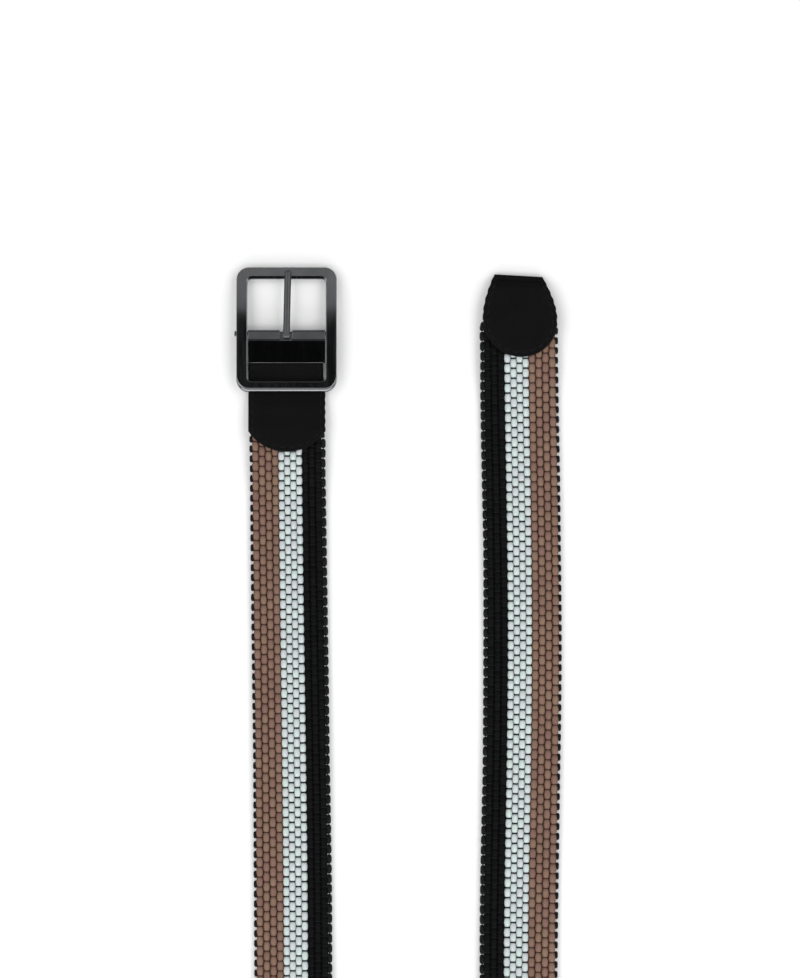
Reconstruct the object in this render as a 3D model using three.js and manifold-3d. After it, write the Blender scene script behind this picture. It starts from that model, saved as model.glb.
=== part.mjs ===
// A braided belt as it lies on a table, in millimetres, +Z up: a framed buckle hinged to a metal clamp, a leather
// tab, a band woven of twelve cords and a leather tip. Both ends lie flat, side by side, and the band twists onto
// its edge for the turn between them. Lengths are measured from the buckle's hinge pin: x across the buckle,
// y towards the end bar of its frame, z from the table.
import * as THREE from "three";
import { mergeVertices } from "three/addons/utils/BufferGeometryUtils.js";
import Module from "manifold-3d";

const wasm = await Module();
wasm.setup();

// General
const GAP = 0.3;
const LEATHER = 1.2;

// Woven band
const BAND_WIDTH = 34.4;
const BAND_THICKNESS = 3.4;
const CORDS_ACROSS = 12;
const CORD_GROOVE = 0.5;
const BAND_EDGE_HEIGHT = 1.4;

// Route of the band
const TIP_X = 101.1;
const TURN_SHIFT = 2.7;
const TIP_LEG_BOW = 1.8;
const TIP_END_Y = 25.4;
const TWIST_START_Y = -291.4;
const TWIST_LENGTH = 128;
const TWIST_STEPS = 11;
const TURN_STEPS = 18;
const TURN_RADIUS = (TIP_X - TURN_SHIFT) / 2;
const TURN_Y = TWIST_START_Y - TWIST_LENGTH;

// Leather tab
const TAB_HALF_WIDTH = 16.7;
const TAB_ARC_RADIUS = 20.3;
const TAB_ARC_Y = -31.3;
const TAB_START_Y = -4;

// Leather tip
const TIP_ARC_RADIUS = 16.3;
const TIP_ARC_Y = 6.1;
const TIP_CUT_HALF_WIDTH = 10.7;
const TIP_CUT_SLOPE = 0.055;
const TIP_LEAN = 0.032;
const ROLLED_EDGE = 2.4;

// Buckle frame
const FRAME_HALF_WIDTH = 21.7;
const FRAME_TOP_Y = 29.1;
const FRAME_BOTTOM_Y = -25.6;
const FRAME_CORNER = 5.5;
const WINDOW_HALF_WIDTH = 17.13;
const WINDOW_TOP_Y = 24.1;
const WINDOW_BOTTOM_Y = -21.4;
const WINDOW_CORNER = 2;
const FRAME_THICKNESS = 3.2;
const FRAME_BEVEL = 0.8;
const FRAME_HEIGHT = 4.6;
const FRAME_BEND_Y = 2;
const FRAME_BEND_RADIUS = 119;
const FRAME_POINT_SPACING = 4.5;
const LUG_RADIUS = 2.2;

// Hinge pin
const PIN_HEIGHT = 3.7;
const PIN_RADIUS = 0.9;
const PIN_BORE = PIN_RADIUS + 0.25;
const PIN_HEAD_RADIUS = 1.3;
const PIN_HEAD_LENGTH = 0.6;

// Clamp, measured from the pin's axis
const CLAMP_HALF_WIDTH = 16.8;
const CLAMP_TUBE_RADIUS = 2.1;
const CLAMP_END_Y = -12.25;
const CLAMP_SHEET = 0.8;
const CLAMP_TOP = 1.1;
const CLAMP_BOTTOM = -PIN_HEIGHT;
const CLAMP_BROW = 2.45;
const CLAMP_WEB_Y = -2.8;
const NOTCH_LEFT = -3;
const NOTCH_RIGHT = 2.5;
const NOTCH_BACK_Y = -2.75;

// Prong
const PRONG_RADIUS = 1.38;
const PRONG_EYE_RADIUS = 2.3;
const PRONG_TIP_Y = 28;
const PRONG_SLANT = 0.65;

const finish = {
  weave: new THREE.MeshStandardMaterial({ color: 0x6b5245, roughness: 0.7, metalness: 0 }),
  leather: new THREE.MeshStandardMaterial({ color: 0x141416, roughness: 0.45, metalness: 0 }),
  metal: new THREE.MeshStandardMaterial({ color: 0x5f6163, roughness: 0.32, metalness: 1 }),
};

// Height and shape of the band near its ends. half_width and thickness are the woven section's, lift is the
// height of its underside above the table.
const TAB_END = [
  { y: -34, half_width: 15, thickness: 1.4, lift: 1.5 },
  { y: -42.5, half_width: 15.7, thickness: 2.7, lift: 1.5 },
  { y: -46, half_width: 16.7, thickness: 2.9, lift: 1.5 },
  { y: -53, half_width: 16.7, thickness: 3.1, lift: 1.5 },
  { y: -72, half_width: 16.7, thickness: BAND_THICKNESS, lift: 0 },
  { y: TWIST_START_Y, half_width: BAND_WIDTH / 2, thickness: BAND_THICKNESS, lift: 0 },
];
const TIP_END = [
  { y: 19.5, half_width: 12.2, thickness: 2, lift: 1.5 },
  { y: 15, half_width: 13.9, thickness: 2.4, lift: 1.5 },
  { y: 7, half_width: 15.6, thickness: 3, lift: 1.5 },
  { y: 2.5, half_width: 17.2, thickness: 3, lift: 1.5 },
  { y: -12, half_width: 17.2, thickness: 3.1, lift: 1.5 },
  { y: -31, half_width: 17.2, thickness: BAND_THICKNESS, lift: 0 },
];

// Underside of the front leathers along the belt: centre is its height in the middle, roll how far the edges
// come down from it.
const TAB_FRONT = [
  { y: TAB_START_Y, centre: 2.55, roll: 0 },
  { y: CLAMP_END_Y, centre: 2.55, roll: 0 },
  { y: -20, centre: 1.5, roll: 0 },
  { y: -26, centre: 1.5, roll: 0 },
  { y: -34, centre: 3.25, roll: 0.3 },
  { y: -43, centre: 4.8, roll: 0.3 },
  { y: -52, centre: 4.9, roll: 0.2 },
];
const TAB_BACK = [
  { y: TAB_START_Y, centre: 1.1, roll: 0 },
  { y: CLAMP_END_Y, centre: 1.1, roll: 0 },
  { y: -20, centre: 0, roll: 0 },
];
const TIP_FRONT = [
  { y: TIP_END_Y + 1, centre: 1.5, roll: 0 },
  { y: 24, centre: 1.5, roll: 0 },
  { y: 19.8, centre: 3.85, roll: 0.3 },
  { y: 8, centre: 4.85, roll: 0.3 },
  { y: -10.5, centre: 4.9, roll: 0.2 },
];
const TIP_BACK = [{ y: TIP_END_Y, centre: 0, roll: 0 }];

// One column of a table at y. Rows run towards lower y, and the value eases from row to row.
function along(table, column, y) {
  const next = table.findIndex((row) => row.y <= y);
  if (next === 0) return table[0][column];
  if (next < 0) return table[table.length - 1][column];
  const [from, to] = [table[next - 1], table[next]];
  const share = THREE.MathUtils.smoothstep(from.y - y, 0, from.y - to.y);
  return THREE.MathUtils.lerp(from[column], to[column], share);
}

// Evenly spaced numbers from one end to the other, both included.
function spaced(from, to, steps) {
  return Array.from({ length: steps + 1 }, (_, i) => from + ((to - from) * i) / steps);
}

// Closed solid through sections, each with the same number of upper and lower points.
function loft(sections) {
  const columns = sections[0].upper.length;
  const size = 2 * columns;
  const points = sections.flatMap(({ upper, lower }) => [...upper, ...[...lower].reverse()]);
  const faces = [];
  for (let row = 0; row + 1 < sections.length; row += 1) {
    for (let i = 0; i < size; i += 1) {
      const here = row * size + i;
      const next = row * size + ((i + 1) % size);
      faces.push(here, next, here + size, next, next + size, here + size);
    }
  }
  const last = (sections.length - 1) * size;
  for (let i = 0; i + 1 < columns; i += 1) {
    const under = size - 1 - i;
    faces.push(i, under - 1, i + 1, i, under, under - 1);
    faces.push(last + i, last + i + 1, last + under - 1, last + i, last + under - 1, last + under);
  }
  const geometry = new THREE.BufferGeometry().setFromPoints(points);
  geometry.setIndex(faces);
  return geometry;
}

// Conversions between three.js geometry and the solids that are joined and cut.
function toSolid(geometry) {
  const bare = geometry.clone();
  bare.deleteAttribute("normal");
  bare.deleteAttribute("uv");
  const merged = mergeVertices(bare, 1e-4);
  return new wasm.Manifold(
    new wasm.Mesh({
      numProp: 3,
      vertProperties: merged.attributes.position.array,
      triVerts: new Uint32Array(merged.index.array),
    }),
  );
}

function toGeometry(solid) {
  const mesh = solid.getMesh();
  const geometry = new THREE.BufferGeometry();
  geometry.setAttribute("position", new THREE.BufferAttribute(mesh.vertProperties, 3));
  geometry.setIndex(new THREE.BufferAttribute(mesh.triVerts, 1));
  return geometry;
}

function named(name, geometry, material) {
  geometry.computeVertexNormals();
  const mesh = new THREE.Mesh(geometry, material);
  mesh.name = name;
  return mesh;
}

// Place, direction of travel and roll of the band. The buckle's leg runs down, the tip's leg runs back up.
function buckleLeg(y) {
  const share = THREE.MathUtils.clamp(y / TWIST_START_Y, 0, 1);
  const slope = (TURN_SHIFT * 6 * share * (1 - share)) / TWIST_START_Y;
  return {
    centre: new THREE.Vector3(TURN_SHIFT * THREE.MathUtils.smoothstep(share, 0, 1), y, 0),
    travel: new THREE.Vector3(-slope, -1, 0).normalize(),
  };
}

function tipLeg(y) {
  const span = TIP_END_Y - TWIST_START_Y;
  const share = THREE.MathUtils.clamp((TIP_END_Y - y) / span, 0, 1);
  const slope = (-TIP_LEG_BOW * Math.PI * Math.sin(2 * Math.PI * share)) / span;
  return {
    centre: new THREE.Vector3(TIP_X + TIP_LEG_BOW * Math.sin(Math.PI * share) ** 2, y, 0),
    travel: new THREE.Vector3(slope, 1, 0).normalize(),
  };
}

function turn(angle) {
  return {
    centre: new THREE.Vector3(
      TURN_SHIFT + TURN_RADIUS * (1 - Math.cos(angle)),
      TURN_Y - TURN_RADIUS * Math.sin(angle),
      0,
    ),
    travel: new THREE.Vector3(Math.sin(angle), -Math.cos(angle), 0),
  };
}

// Outline of the woven section: one ridge for each cord on both faces, and thinner edges.
function bandOutline(halfWidth, thickness) {
  const inner = halfWidth - 0.9;
  const ridges = spaced(-inner, inner, 2 * CORDS_ACROSS).map((across, i) => ({
    across,
    height: thickness / 2 - (i % 2 ? 0 : CORD_GROOVE),
  }));
  const edge = BAND_EDGE_HEIGHT / 2;
  return [{ across: -halfWidth, height: edge }, ...ridges, { across: halfWidth, height: edge }];
}

// Section of the band at a station. It rests on the table, or lift above it, whatever its roll.
function bandSection({ centre, travel, roll = 0, halfWidth, thickness, lift = 0 }) {
  const outline = bandOutline(halfWidth, thickness);
  const outward = new THREE.Vector3(travel.y, -travel.x, 0);
  const across = outward.clone().multiplyScalar(Math.cos(roll)).setZ(Math.sin(roll));
  const face = outward.clone().multiplyScalar(-Math.sin(roll)).setZ(Math.cos(roll));
  const reach = outline.map((p) => Math.abs(p.across * across.z) + Math.abs(p.height * face.z));
  const middle = centre.clone().setZ(lift + Math.max(...reach));
  const place = (p, side) =>
    middle
      .clone()
      .addScaledVector(across, p.across)
      .addScaledVector(face, side * p.height);
  return { upper: outline.map((p) => place(p, 1)), lower: outline.map((p) => place(p, -1)) };
}

function wovenBand() {
  const full = { halfWidth: BAND_WIDTH / 2, thickness: BAND_THICKNESS };
  const legStation = (leg, table) => (y) => ({
    ...leg(y),
    halfWidth: along(table, "half_width", y),
    thickness: along(table, "thickness", y),
    lift: along(table, "lift", y),
  });
  const twistStation = (leg) => (share) => ({
    ...full,
    ...leg(TWIST_START_Y - share * TWIST_LENGTH),
    roll: (Math.PI / 2) * THREE.MathUtils.smoothstep(share, 0, 1),
  });
  const buckleYs = [-34, -42.5, -44.2, -46, -53, -59, -65, -72, -180, TWIST_START_Y];
  const tipYs = [-230, -170, -100, -31, -25, -19, -12, 2.5, 4.7, 7, 15, 19.5];
  const twist = spaced(0, 1, TWIST_STEPS).slice(1);
  return loft(
    [
      ...buckleYs.map(legStation(buckleLeg, TAB_END)),
      ...twist.map(twistStation(buckleLeg)),
      ...spaced(0, Math.PI, TURN_STEPS)
        .slice(1, -1)
        .map((angle) => ({ ...full, ...turn(angle), roll: Math.PI / 2 })),
      ...twist.reverse().map(twistStation(tipLeg)),
      ...[TWIST_START_Y, ...tipYs].map(legStation(tipLeg, TIP_END)),
    ].map(bandSection),
  );
}

// Rows of a leather end. left and right are measured from centre, margin gives the distance to the nearest edge.
function tabRow(y) {
  const arc = y < TAB_ARC_Y ? Math.sqrt(Math.max(TAB_ARC_RADIUS ** 2 - (y - TAB_ARC_Y) ** 2, 0)) : TAB_HALF_WIDTH;
  const half = Math.min(TAB_HALF_WIDTH, arc);
  const trimmed = THREE.MathUtils.smoothstep(Math.abs(y + 16), 3, 5);
  return {
    y,
    centre: buckleLeg(y).centre.x,
    left: half,
    right: half - 0.9 * (1 - trimmed),
    margin: (x) => Math.min(half - Math.abs(x), y < TAB_ARC_Y ? TAB_ARC_RADIUS - Math.hypot(x, y - TAB_ARC_Y) : half),
    cut: 0,
  };
}

function tipRow(y) {
  const flare = Math.sin((Math.PI / 2) * THREE.MathUtils.clamp((TIP_END_Y - y) / (TIP_END_Y - TIP_ARC_Y), 0, 1));
  const arc = Math.sqrt(Math.max(TIP_ARC_RADIUS ** 2 - (y - TIP_ARC_Y) ** 2, 0));
  const half = y < TIP_ARC_Y ? arc : THREE.MathUtils.lerp(TIP_CUT_HALF_WIDTH, TIP_ARC_RADIUS, flare);
  return {
    y,
    centre: TIP_X + 0.2 + TIP_LEAN * (TIP_END_Y - y),
    left: half,
    right: half,
    margin: (x) => (y < TIP_ARC_Y ? TIP_ARC_RADIUS - Math.hypot(x, y - TIP_ARC_Y) : half - Math.abs(x)),
    cut: TIP_CUT_SLOPE * THREE.MathUtils.smoothstep(y, TIP_ARC_Y, TIP_END_Y),
  };
}

// One layer of leather. Its columns lie closer together along both rolled edges.
function leatherLayer(rows, profile) {
  const sections = rows.map((row) => {
    const reach = Math.min(ROLLED_EDGE, row.left / 2);
    const insets = [0, reach / 3, (2 * reach) / 3, reach];
    const columns = [
      ...insets.map((inset) => row.right - inset),
      ...spaced(row.right - reach, reach - row.left, 4).slice(1, -1),
      ...insets.reverse().map((inset) => inset - row.left),
    ];
    const surface = (height) =>
      columns.map((x) => {
        const rolled = 1 - THREE.MathUtils.smoothstep(row.margin(x), 0, ROLLED_EDGE);
        const z = along(profile, "centre", row.y) - along(profile, "roll", row.y) * rolled;
        return new THREE.Vector3(row.centre + x, row.y - row.cut * x, z + height);
      });
    return { upper: surface(LEATHER - 0.05), lower: surface(0) };
  });
  return loft(sections);
}

// Rows down to the end of an arc, closer together where its edge turns.
function arcRows(centreY, radius, from) {
  const start = Math.asin((centreY - from) / radius);
  return spaced(start, THREE.MathUtils.degToRad(86), 6).map((angle) => centreY - radius * Math.sin(angle));
}

function tabLeather(profile) {
  const straight = [TAB_START_Y, CLAMP_END_Y, -13.5, -16, -18.5, -20, -23, -26, -28, -30, -32, -34, -38];
  const sideEnd = TAB_ARC_Y - Math.sqrt(TAB_ARC_RADIUS ** 2 - TAB_HALF_WIDTH ** 2);
  return leatherLayer([...straight, ...arcRows(TAB_ARC_Y, TAB_ARC_RADIUS, sideEnd)].map(tabRow), profile);
}

function tipLeather(profile) {
  const flared = [TIP_END_Y, 24, 22.6, 21.2, 19.8, 16, 12, 8];
  return leatherLayer([...flared, ...arcRows(TIP_ARC_Y, TIP_ARC_RADIUS, TIP_ARC_Y)].map(tipRow), profile);
}

// Rounded rectangle about x = 0, with extra points down its long sides so that it can bend.
function roundedOutline(halfWidth, top, bottom, corner) {
  const arc = (x, y, start) =>
    spaced(start, start + Math.PI / 2, 5).map(
      (angle) => new THREE.Vector2(x + corner * Math.cos(angle), y + corner * Math.sin(angle)),
    );
  const steps = Math.round((top - bottom - 2 * corner) / FRAME_POINT_SPACING);
  const side = (x, from, to) =>
    spaced(from, to, steps)
      .slice(1, -1)
      .map((y) => new THREE.Vector2(x, y));
  return [
    ...arc(halfWidth - corner, top - corner, 0),
    ...arc(corner - halfWidth, top - corner, Math.PI / 2),
    ...side(-halfWidth, top - corner, bottom + corner),
    ...arc(corner - halfWidth, bottom + corner, Math.PI),
    ...arc(halfWidth - corner, bottom + corner, 1.5 * Math.PI),
    ...side(halfWidth, bottom + corner, top - corner),
  ];
}

// Cylinder along x between two places, on the pin's axis.
function crossCylinder(radius, from, to, sides) {
  return new THREE.CylinderGeometry(radius, radius, to - from, sides)
    .rotateZ(Math.PI / 2)
    .translate((from + to) / 2, 0, 0);
}

// Round wire along the prong's arch, with a ball on its tip.
function prongWire(radius) {
  const arch = new THREE.CatmullRomCurve3([
    new THREE.Vector3(0, -0.2, 0.95),
    new THREE.Vector3(0.08, 3.2, 1.45),
    new THREE.Vector3(0.24, 10, 2.1),
    new THREE.Vector3(0.44, 18.5, 1.95),
    new THREE.Vector3(0.58, 24, 1.15),
    new THREE.Vector3(PRONG_SLANT, PRONG_TIP_Y - PRONG_RADIUS, 0.6),
  ]);
  const circle = new THREE.Shape(
    spaced(0, 2 * Math.PI, 12)
      .slice(0, -1)
      .map((angle) => new THREE.Vector2(radius * Math.cos(angle), radius * Math.sin(angle))),
  );
  const wire = new THREE.ExtrudeGeometry(circle, { steps: 16, extrudePath: arch });
  const end = arch.getPoint(1);
  const tip = new THREE.SphereGeometry(radius, 12, 8).translate(end.x, end.y, end.z);
  return toSolid(wire).add(toSolid(tip));
}

function buckleFrame() {
  const outline = new THREE.Shape(roundedOutline(FRAME_HALF_WIDTH, FRAME_TOP_Y, FRAME_BOTTOM_Y, FRAME_CORNER));
  outline.holes.push(
    new THREE.Path(roundedOutline(WINDOW_HALF_WIDTH, WINDOW_TOP_Y, WINDOW_BOTTOM_Y, WINDOW_CORNER)),
  );
  const flat = new THREE.ExtrudeGeometry(outline, {
    depth: FRAME_THICKNESS - 2 * FRAME_BEVEL,
    bevelSize: FRAME_BEVEL,
    bevelOffset: -FRAME_BEVEL,
    bevelThickness: FRAME_BEVEL,
    bevelSegments: 2,
  });
  const raised = FRAME_HEIGHT - PIN_HEIGHT - FRAME_THICKNESS / 2 + FRAME_BEVEL;
  const points = flat.getAttribute("position");
  for (let i = 0; i < points.count; i += 1) {
    const past = Math.max(points.getY(i) - FRAME_BEND_Y, 0);
    points.setZ(i, points.getZ(i) + raised - past ** 2 / (2 * FRAME_BEND_RADIUS));
  }
  let solid = toSolid(flat);
  for (const side of [-1, 1]) {
    const [near, far] = [WINDOW_HALF_WIDTH + GAP, FRAME_HALF_WIDTH - GAP].map((x) => side * x);
    solid = solid.add(toSolid(crossCylinder(LUG_RADIUS, Math.min(near, far), Math.max(near, far), 24)));
  }
  const bore = crossCylinder(PIN_BORE, -FRAME_HALF_WIDTH - 1, FRAME_HALF_WIDTH + 1, 16);
  return toGeometry(solid.subtract(toSolid(bore)).subtract(prongWire(PRONG_RADIUS + GAP)));
}

function hingePin() {
  const shank = crossCylinder(PIN_RADIUS, -FRAME_HALF_WIDTH - GAP - 0.1, FRAME_HALF_WIDTH - 0.2, 16);
  const headStart = -FRAME_HALF_WIDTH - GAP;
  const head = crossCylinder(PIN_HEAD_RADIUS, headStart - PIN_HEAD_LENGTH, headStart, 16);
  return toGeometry(toSolid(shank).add(toSolid(head)));
}

function prong() {
  const eye = crossCylinder(PRONG_EYE_RADIUS, -PRONG_RADIUS, PRONG_RADIUS, 20);
  const bore = crossCylinder(PIN_BORE, -4, 4, 16);
  return toGeometry(prongWire(PRONG_RADIUS).add(toSolid(eye)).subtract(toSolid(bore)));
}

// Sheet bent into a box for the leather, and rolled into a tube round the pin.
function clamp() {
  const inTop = CLAMP_TOP - CLAMP_SHEET;
  const inBottom = CLAMP_BOTTOM + CLAMP_SHEET;
  const inFront = CLAMP_WEB_Y - CLAMP_SHEET;
  const joinY = -1.5;
  const box = new THREE.Shape(
    [
      [0.2, CLAMP_TUBE_RADIUS - 0.1],
      [CLAMP_WEB_Y + 0.1, CLAMP_BROW],
      [CLAMP_WEB_Y - 0.05, CLAMP_TOP],
      [CLAMP_END_Y, CLAMP_TOP],
      [CLAMP_END_Y, inTop],
      [inFront, inTop],
      [inFront, inBottom],
      [CLAMP_END_Y, inBottom],
      [CLAMP_END_Y, CLAMP_BOTTOM],
      [CLAMP_WEB_Y, CLAMP_BOTTOM],
      [CLAMP_WEB_Y, -0.9],
      [joinY, -0.9],
    ].map(([y, z]) => new THREE.Vector2(y, z)),
  );
  const sheet = new THREE.ExtrudeGeometry(box, { depth: 2 * CLAMP_HALF_WIDTH, bevelEnabled: false })
    .rotateX(Math.PI / 2)
    .rotateZ(Math.PI / 2)
    .translate(-CLAMP_HALF_WIDTH, 0, 0);
  const tube = crossCylinder(CLAMP_TUBE_RADIUS, -CLAMP_HALF_WIDTH, CLAMP_HALF_WIDTH, 24);
  const bore = crossCylinder(PIN_BORE, -CLAMP_HALF_WIDTH - 1, CLAMP_HALF_WIDTH + 1, 16);
  const notchDepth = CLAMP_TUBE_RADIUS + 1 - NOTCH_BACK_Y;
  const notch = new THREE.BoxGeometry(NOTCH_RIGHT - NOTCH_LEFT, notchDepth, 4 * CLAMP_TUBE_RADIUS).translate(
    (NOTCH_LEFT + NOTCH_RIGHT) / 2,
    NOTCH_BACK_Y + notchDepth / 2,
    0,
  );
  return toGeometry(toSolid(sheet).add(toSolid(tube)).subtract(toSolid(bore)).subtract(toSolid(notch)));
}

const buckle = new THREE.Group();
buckle.position.z = PIN_HEIGHT;
buckle.add(named("clamp", clamp(), finish.metal));
buckle.add(named("buckle_frame", buckleFrame(), finish.metal));
buckle.add(named("hinge_pin", hingePin(), finish.metal));
buckle.add(named("prong", prong(), finish.metal));

const ends = new THREE.Group();
ends.add(named("tab_leather_front", tabLeather(TAB_FRONT), finish.leather));
ends.add(named("tab_leather_back", tabLeather(TAB_BACK), finish.leather));
ends.add(named("tip_leather_front", tipLeather(TIP_FRONT), finish.leather));
ends.add(named("tip_leather_back", tipLeather(TIP_BACK), finish.leather));

const belt = new THREE.Group();
belt.add(named("woven_band", wovenBand(), finish.weave), ends, buckle);

// The origin is the middle of the belt's footprint, on the table.
const footprint = new THREE.Box3().setFromObject(belt).getCenter(new THREE.Vector3());
belt.position.set(-footprint.x, -footprint.y, 0);

export default belt;
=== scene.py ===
"""A braided belt lying on a table: woven band, leather tab and tip, hinged buckle, and the studio round it.

Places are first worked out in millimetres from the buckle's hinge pin: x across the buckle, y towards the
end bar of its frame, z from the table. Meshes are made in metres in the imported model's own frame.
"""

import logging
import math
from dataclasses import dataclass, field
from enum import Enum
from typing import Callable, Iterable, Sequence

import bmesh
import bpy
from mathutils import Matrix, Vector


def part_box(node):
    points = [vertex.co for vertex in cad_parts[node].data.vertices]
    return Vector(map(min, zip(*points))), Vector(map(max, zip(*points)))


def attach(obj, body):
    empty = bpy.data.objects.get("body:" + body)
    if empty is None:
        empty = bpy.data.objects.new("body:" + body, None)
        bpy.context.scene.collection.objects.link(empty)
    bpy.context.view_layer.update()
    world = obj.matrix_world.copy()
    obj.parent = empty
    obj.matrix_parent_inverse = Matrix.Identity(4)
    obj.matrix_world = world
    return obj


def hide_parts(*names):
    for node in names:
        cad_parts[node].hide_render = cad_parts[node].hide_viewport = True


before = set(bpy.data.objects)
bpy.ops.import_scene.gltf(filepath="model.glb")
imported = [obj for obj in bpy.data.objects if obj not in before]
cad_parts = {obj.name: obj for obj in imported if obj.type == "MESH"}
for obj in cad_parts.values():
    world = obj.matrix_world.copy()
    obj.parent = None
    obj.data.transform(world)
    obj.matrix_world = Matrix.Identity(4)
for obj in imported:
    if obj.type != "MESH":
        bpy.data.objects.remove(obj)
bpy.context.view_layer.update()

MM = 0.001
FULL_TURN = 2 * math.pi
PHOTO_WIDTH = 800
PHOTO_HEIGHT = 978

log = logging.getLogger("belt")

Row = tuple[float, ...]
Points = list[Vector]
Place = tuple[float, float]
Colour = tuple[float, float, float, float]
Object = bpy.types.Object
Socket = bpy.types.NodeSocket


class Body(Enum):
    """Moving bodies of the belt."""

    BELT = "belt"
    FRAME = "frame"
    PRONG = "prong"


class Slot(Enum):
    """Material slots of the part."""

    WEAVE = "woven_cord"
    LEATHER = "leather"
    METAL = "gunmetal"


def smoothstep(value: float, low: float, high: float) -> float:
    """Ease from 0 at low to 1 at high, level at both ends and past them."""
    share = min(max((value - low) / (high - low), 0.0), 1.0)
    return share * share * (3 - 2 * share)


def spaced(start: float, end: float, steps: int) -> list[float]:
    """Numbers from start to end, both included, with a number of equal steps between them."""
    return [start + (end - start) * i / steps for i in range(steps + 1)]


def along(table: Sequence[Row], column: int, y: float) -> float:
    """Ease one column of a table whose rows run towards lower y.

    Args:
        table: Rows that start with their y.
        column: Column to read.
        y: Place along the belt.

    Returns:
        The eased value at y.
    """
    below = next((i for i, row in enumerate(table) if row[0] <= y), len(table))
    if below == 0 or below == len(table):
        return table[min(below, len(table) - 1)][column]
    upper, lower = table[below - 1], table[below]
    share = smoothstep(upper[0] - y, 0, upper[0] - lower[0])
    return upper[column] + (lower[column] - upper[column]) * share


def hinge_place() -> Vector:
    """Place of the measuring origin, under the middle of the hinge pin, in metres."""
    frame_low, frame_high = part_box("buckle_frame")
    pin_low, pin_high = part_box("hinge_pin")
    return Vector(((frame_low.x + frame_high.x) / 2, (pin_low.y + pin_high.y) / 2, 0))


ORIGIN = hinge_place()


def placed(x: float, y: float, z: float) -> Vector:
    """Point of the model, in metres, from its place in millimetres from the hinge pin."""
    return ORIGIN + Vector((x, y, z)) * MM


# Meshes


def mesh_of(
    name: str, points: Iterable[Vector], edges: Iterable = (), faces: Iterable = ()
) -> bpy.types.Mesh:
    """Mesh data from points in metres and the vertex numbers of its edges and faces.

    Args:
        name: Name of the mesh.
        points: Vertices in metres.
        edges: Pairs of vertex numbers.
        faces: Vertex numbers of each face.

    Returns:
        The mesh data.
    """
    mesh = bpy.data.meshes.new(name)
    mesh.from_pydata([tuple(p) for p in points], list(edges), [tuple(f) for f in faces])
    return mesh


def linked(name: str, data: bpy.types.ID) -> Object:
    """Object with the data, in the scene.

    Args:
        name: Name of the object.
        data: Mesh, lamp or camera data.

    Returns:
        The new object.
    """
    obj = bpy.data.objects.new(name, data)
    bpy.context.scene.collection.objects.link(obj)
    return obj


def line_of(name: str, points: Points) -> Object:
    """Object with one line of edges through points in metres."""
    return linked(name, mesh_of(name, points, [(i, i + 1) for i in range(len(points) - 1)]))


def baked(obj: Object) -> bpy.types.Mesh:
    """Plain mesh of an object with its modifiers worked out."""
    bpy.context.view_layer.update()
    return bpy.data.meshes.new_from_object(obj.evaluated_get(bpy.context.evaluated_depsgraph_get()))


def new_mesh(name: str, points: Iterable[Vector], faces: Iterable[Sequence[int]]) -> Object:
    """Make a smooth mesh object with its faces turned outwards.

    Args:
        name: Name of the object.
        points: Vertices in metres.
        faces: Vertex numbers of each face.

    Returns:
        The new object, linked to the scene.
    """
    mesh = mesh_of(name, points, faces=faces)
    shape = bmesh.new()
    shape.from_mesh(mesh)
    bmesh.ops.remove_doubles(shape, verts=shape.verts, dist=1e-7)
    bmesh.ops.recalc_face_normals(shape, faces=shape.faces)
    shape.to_mesh(mesh)
    shape.free()
    obj = linked(name, mesh)
    smooth(obj)
    return obj


def smooth(obj: Object, degrees: float = 35) -> None:
    """Shade a mesh smooth, apart from the edges that turn by more than the angle."""
    obj.data.shade_smooth()
    obj.data.set_sharp_from_angle(angle=math.radians(degrees))


def tube(name: str, rings: Sequence[Points], closed: bool = False) -> Object:
    """Make one closed body from rings of points.

    Args:
        name: Name of the object.
        rings: Points in metres, as many in each ring.
        closed: Whether the last ring joins the first. Otherwise both ends are flat.

    Returns:
        The body.
    """
    size, count = len(rings[0]), len(rings)
    faces = []
    for ring in range(count if closed else count - 1):
        here, there = ring * size, (ring + 1) % count * size
        for i in range(size):
            j = (i + 1) % size
            faces.append((here + i, here + j, there + j, there + i))
    if not closed:
        faces += [range(size), range((count - 1) * size, count * size)]
    return new_mesh(name, [p for ring in rings for p in ring], faces)


def joined(name: str, parts: Sequence[Object]) -> Object:
    """Join closed bodies into one object.

    Args:
        name: Name of the joined object.
        parts: Objects whose meshes are taken up.

    Returns:
        The first object, under its new name.
    """
    shape = bmesh.new()
    for part in parts:
        shape.from_mesh(part.data)
    whole = parts[0]
    shape.to_mesh(whole.data)
    shape.free()
    for part in parts[1:]:
        bpy.data.objects.remove(part)
    whole.name = name
    smooth(whole)
    return whole


def finish_piece(obj: Object, body: Body, slot: Slot, replaced: Sequence[str] = ()) -> None:
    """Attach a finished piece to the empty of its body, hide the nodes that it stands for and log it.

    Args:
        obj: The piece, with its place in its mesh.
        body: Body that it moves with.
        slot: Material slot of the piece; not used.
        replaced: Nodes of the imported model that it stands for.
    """
    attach(obj, body.value)
    if replaced:
        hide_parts(*replaced)
    log.info("%s: %d faces on %s", obj.name, len(obj.data.polygons), body.value)


# Node graphs


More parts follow.
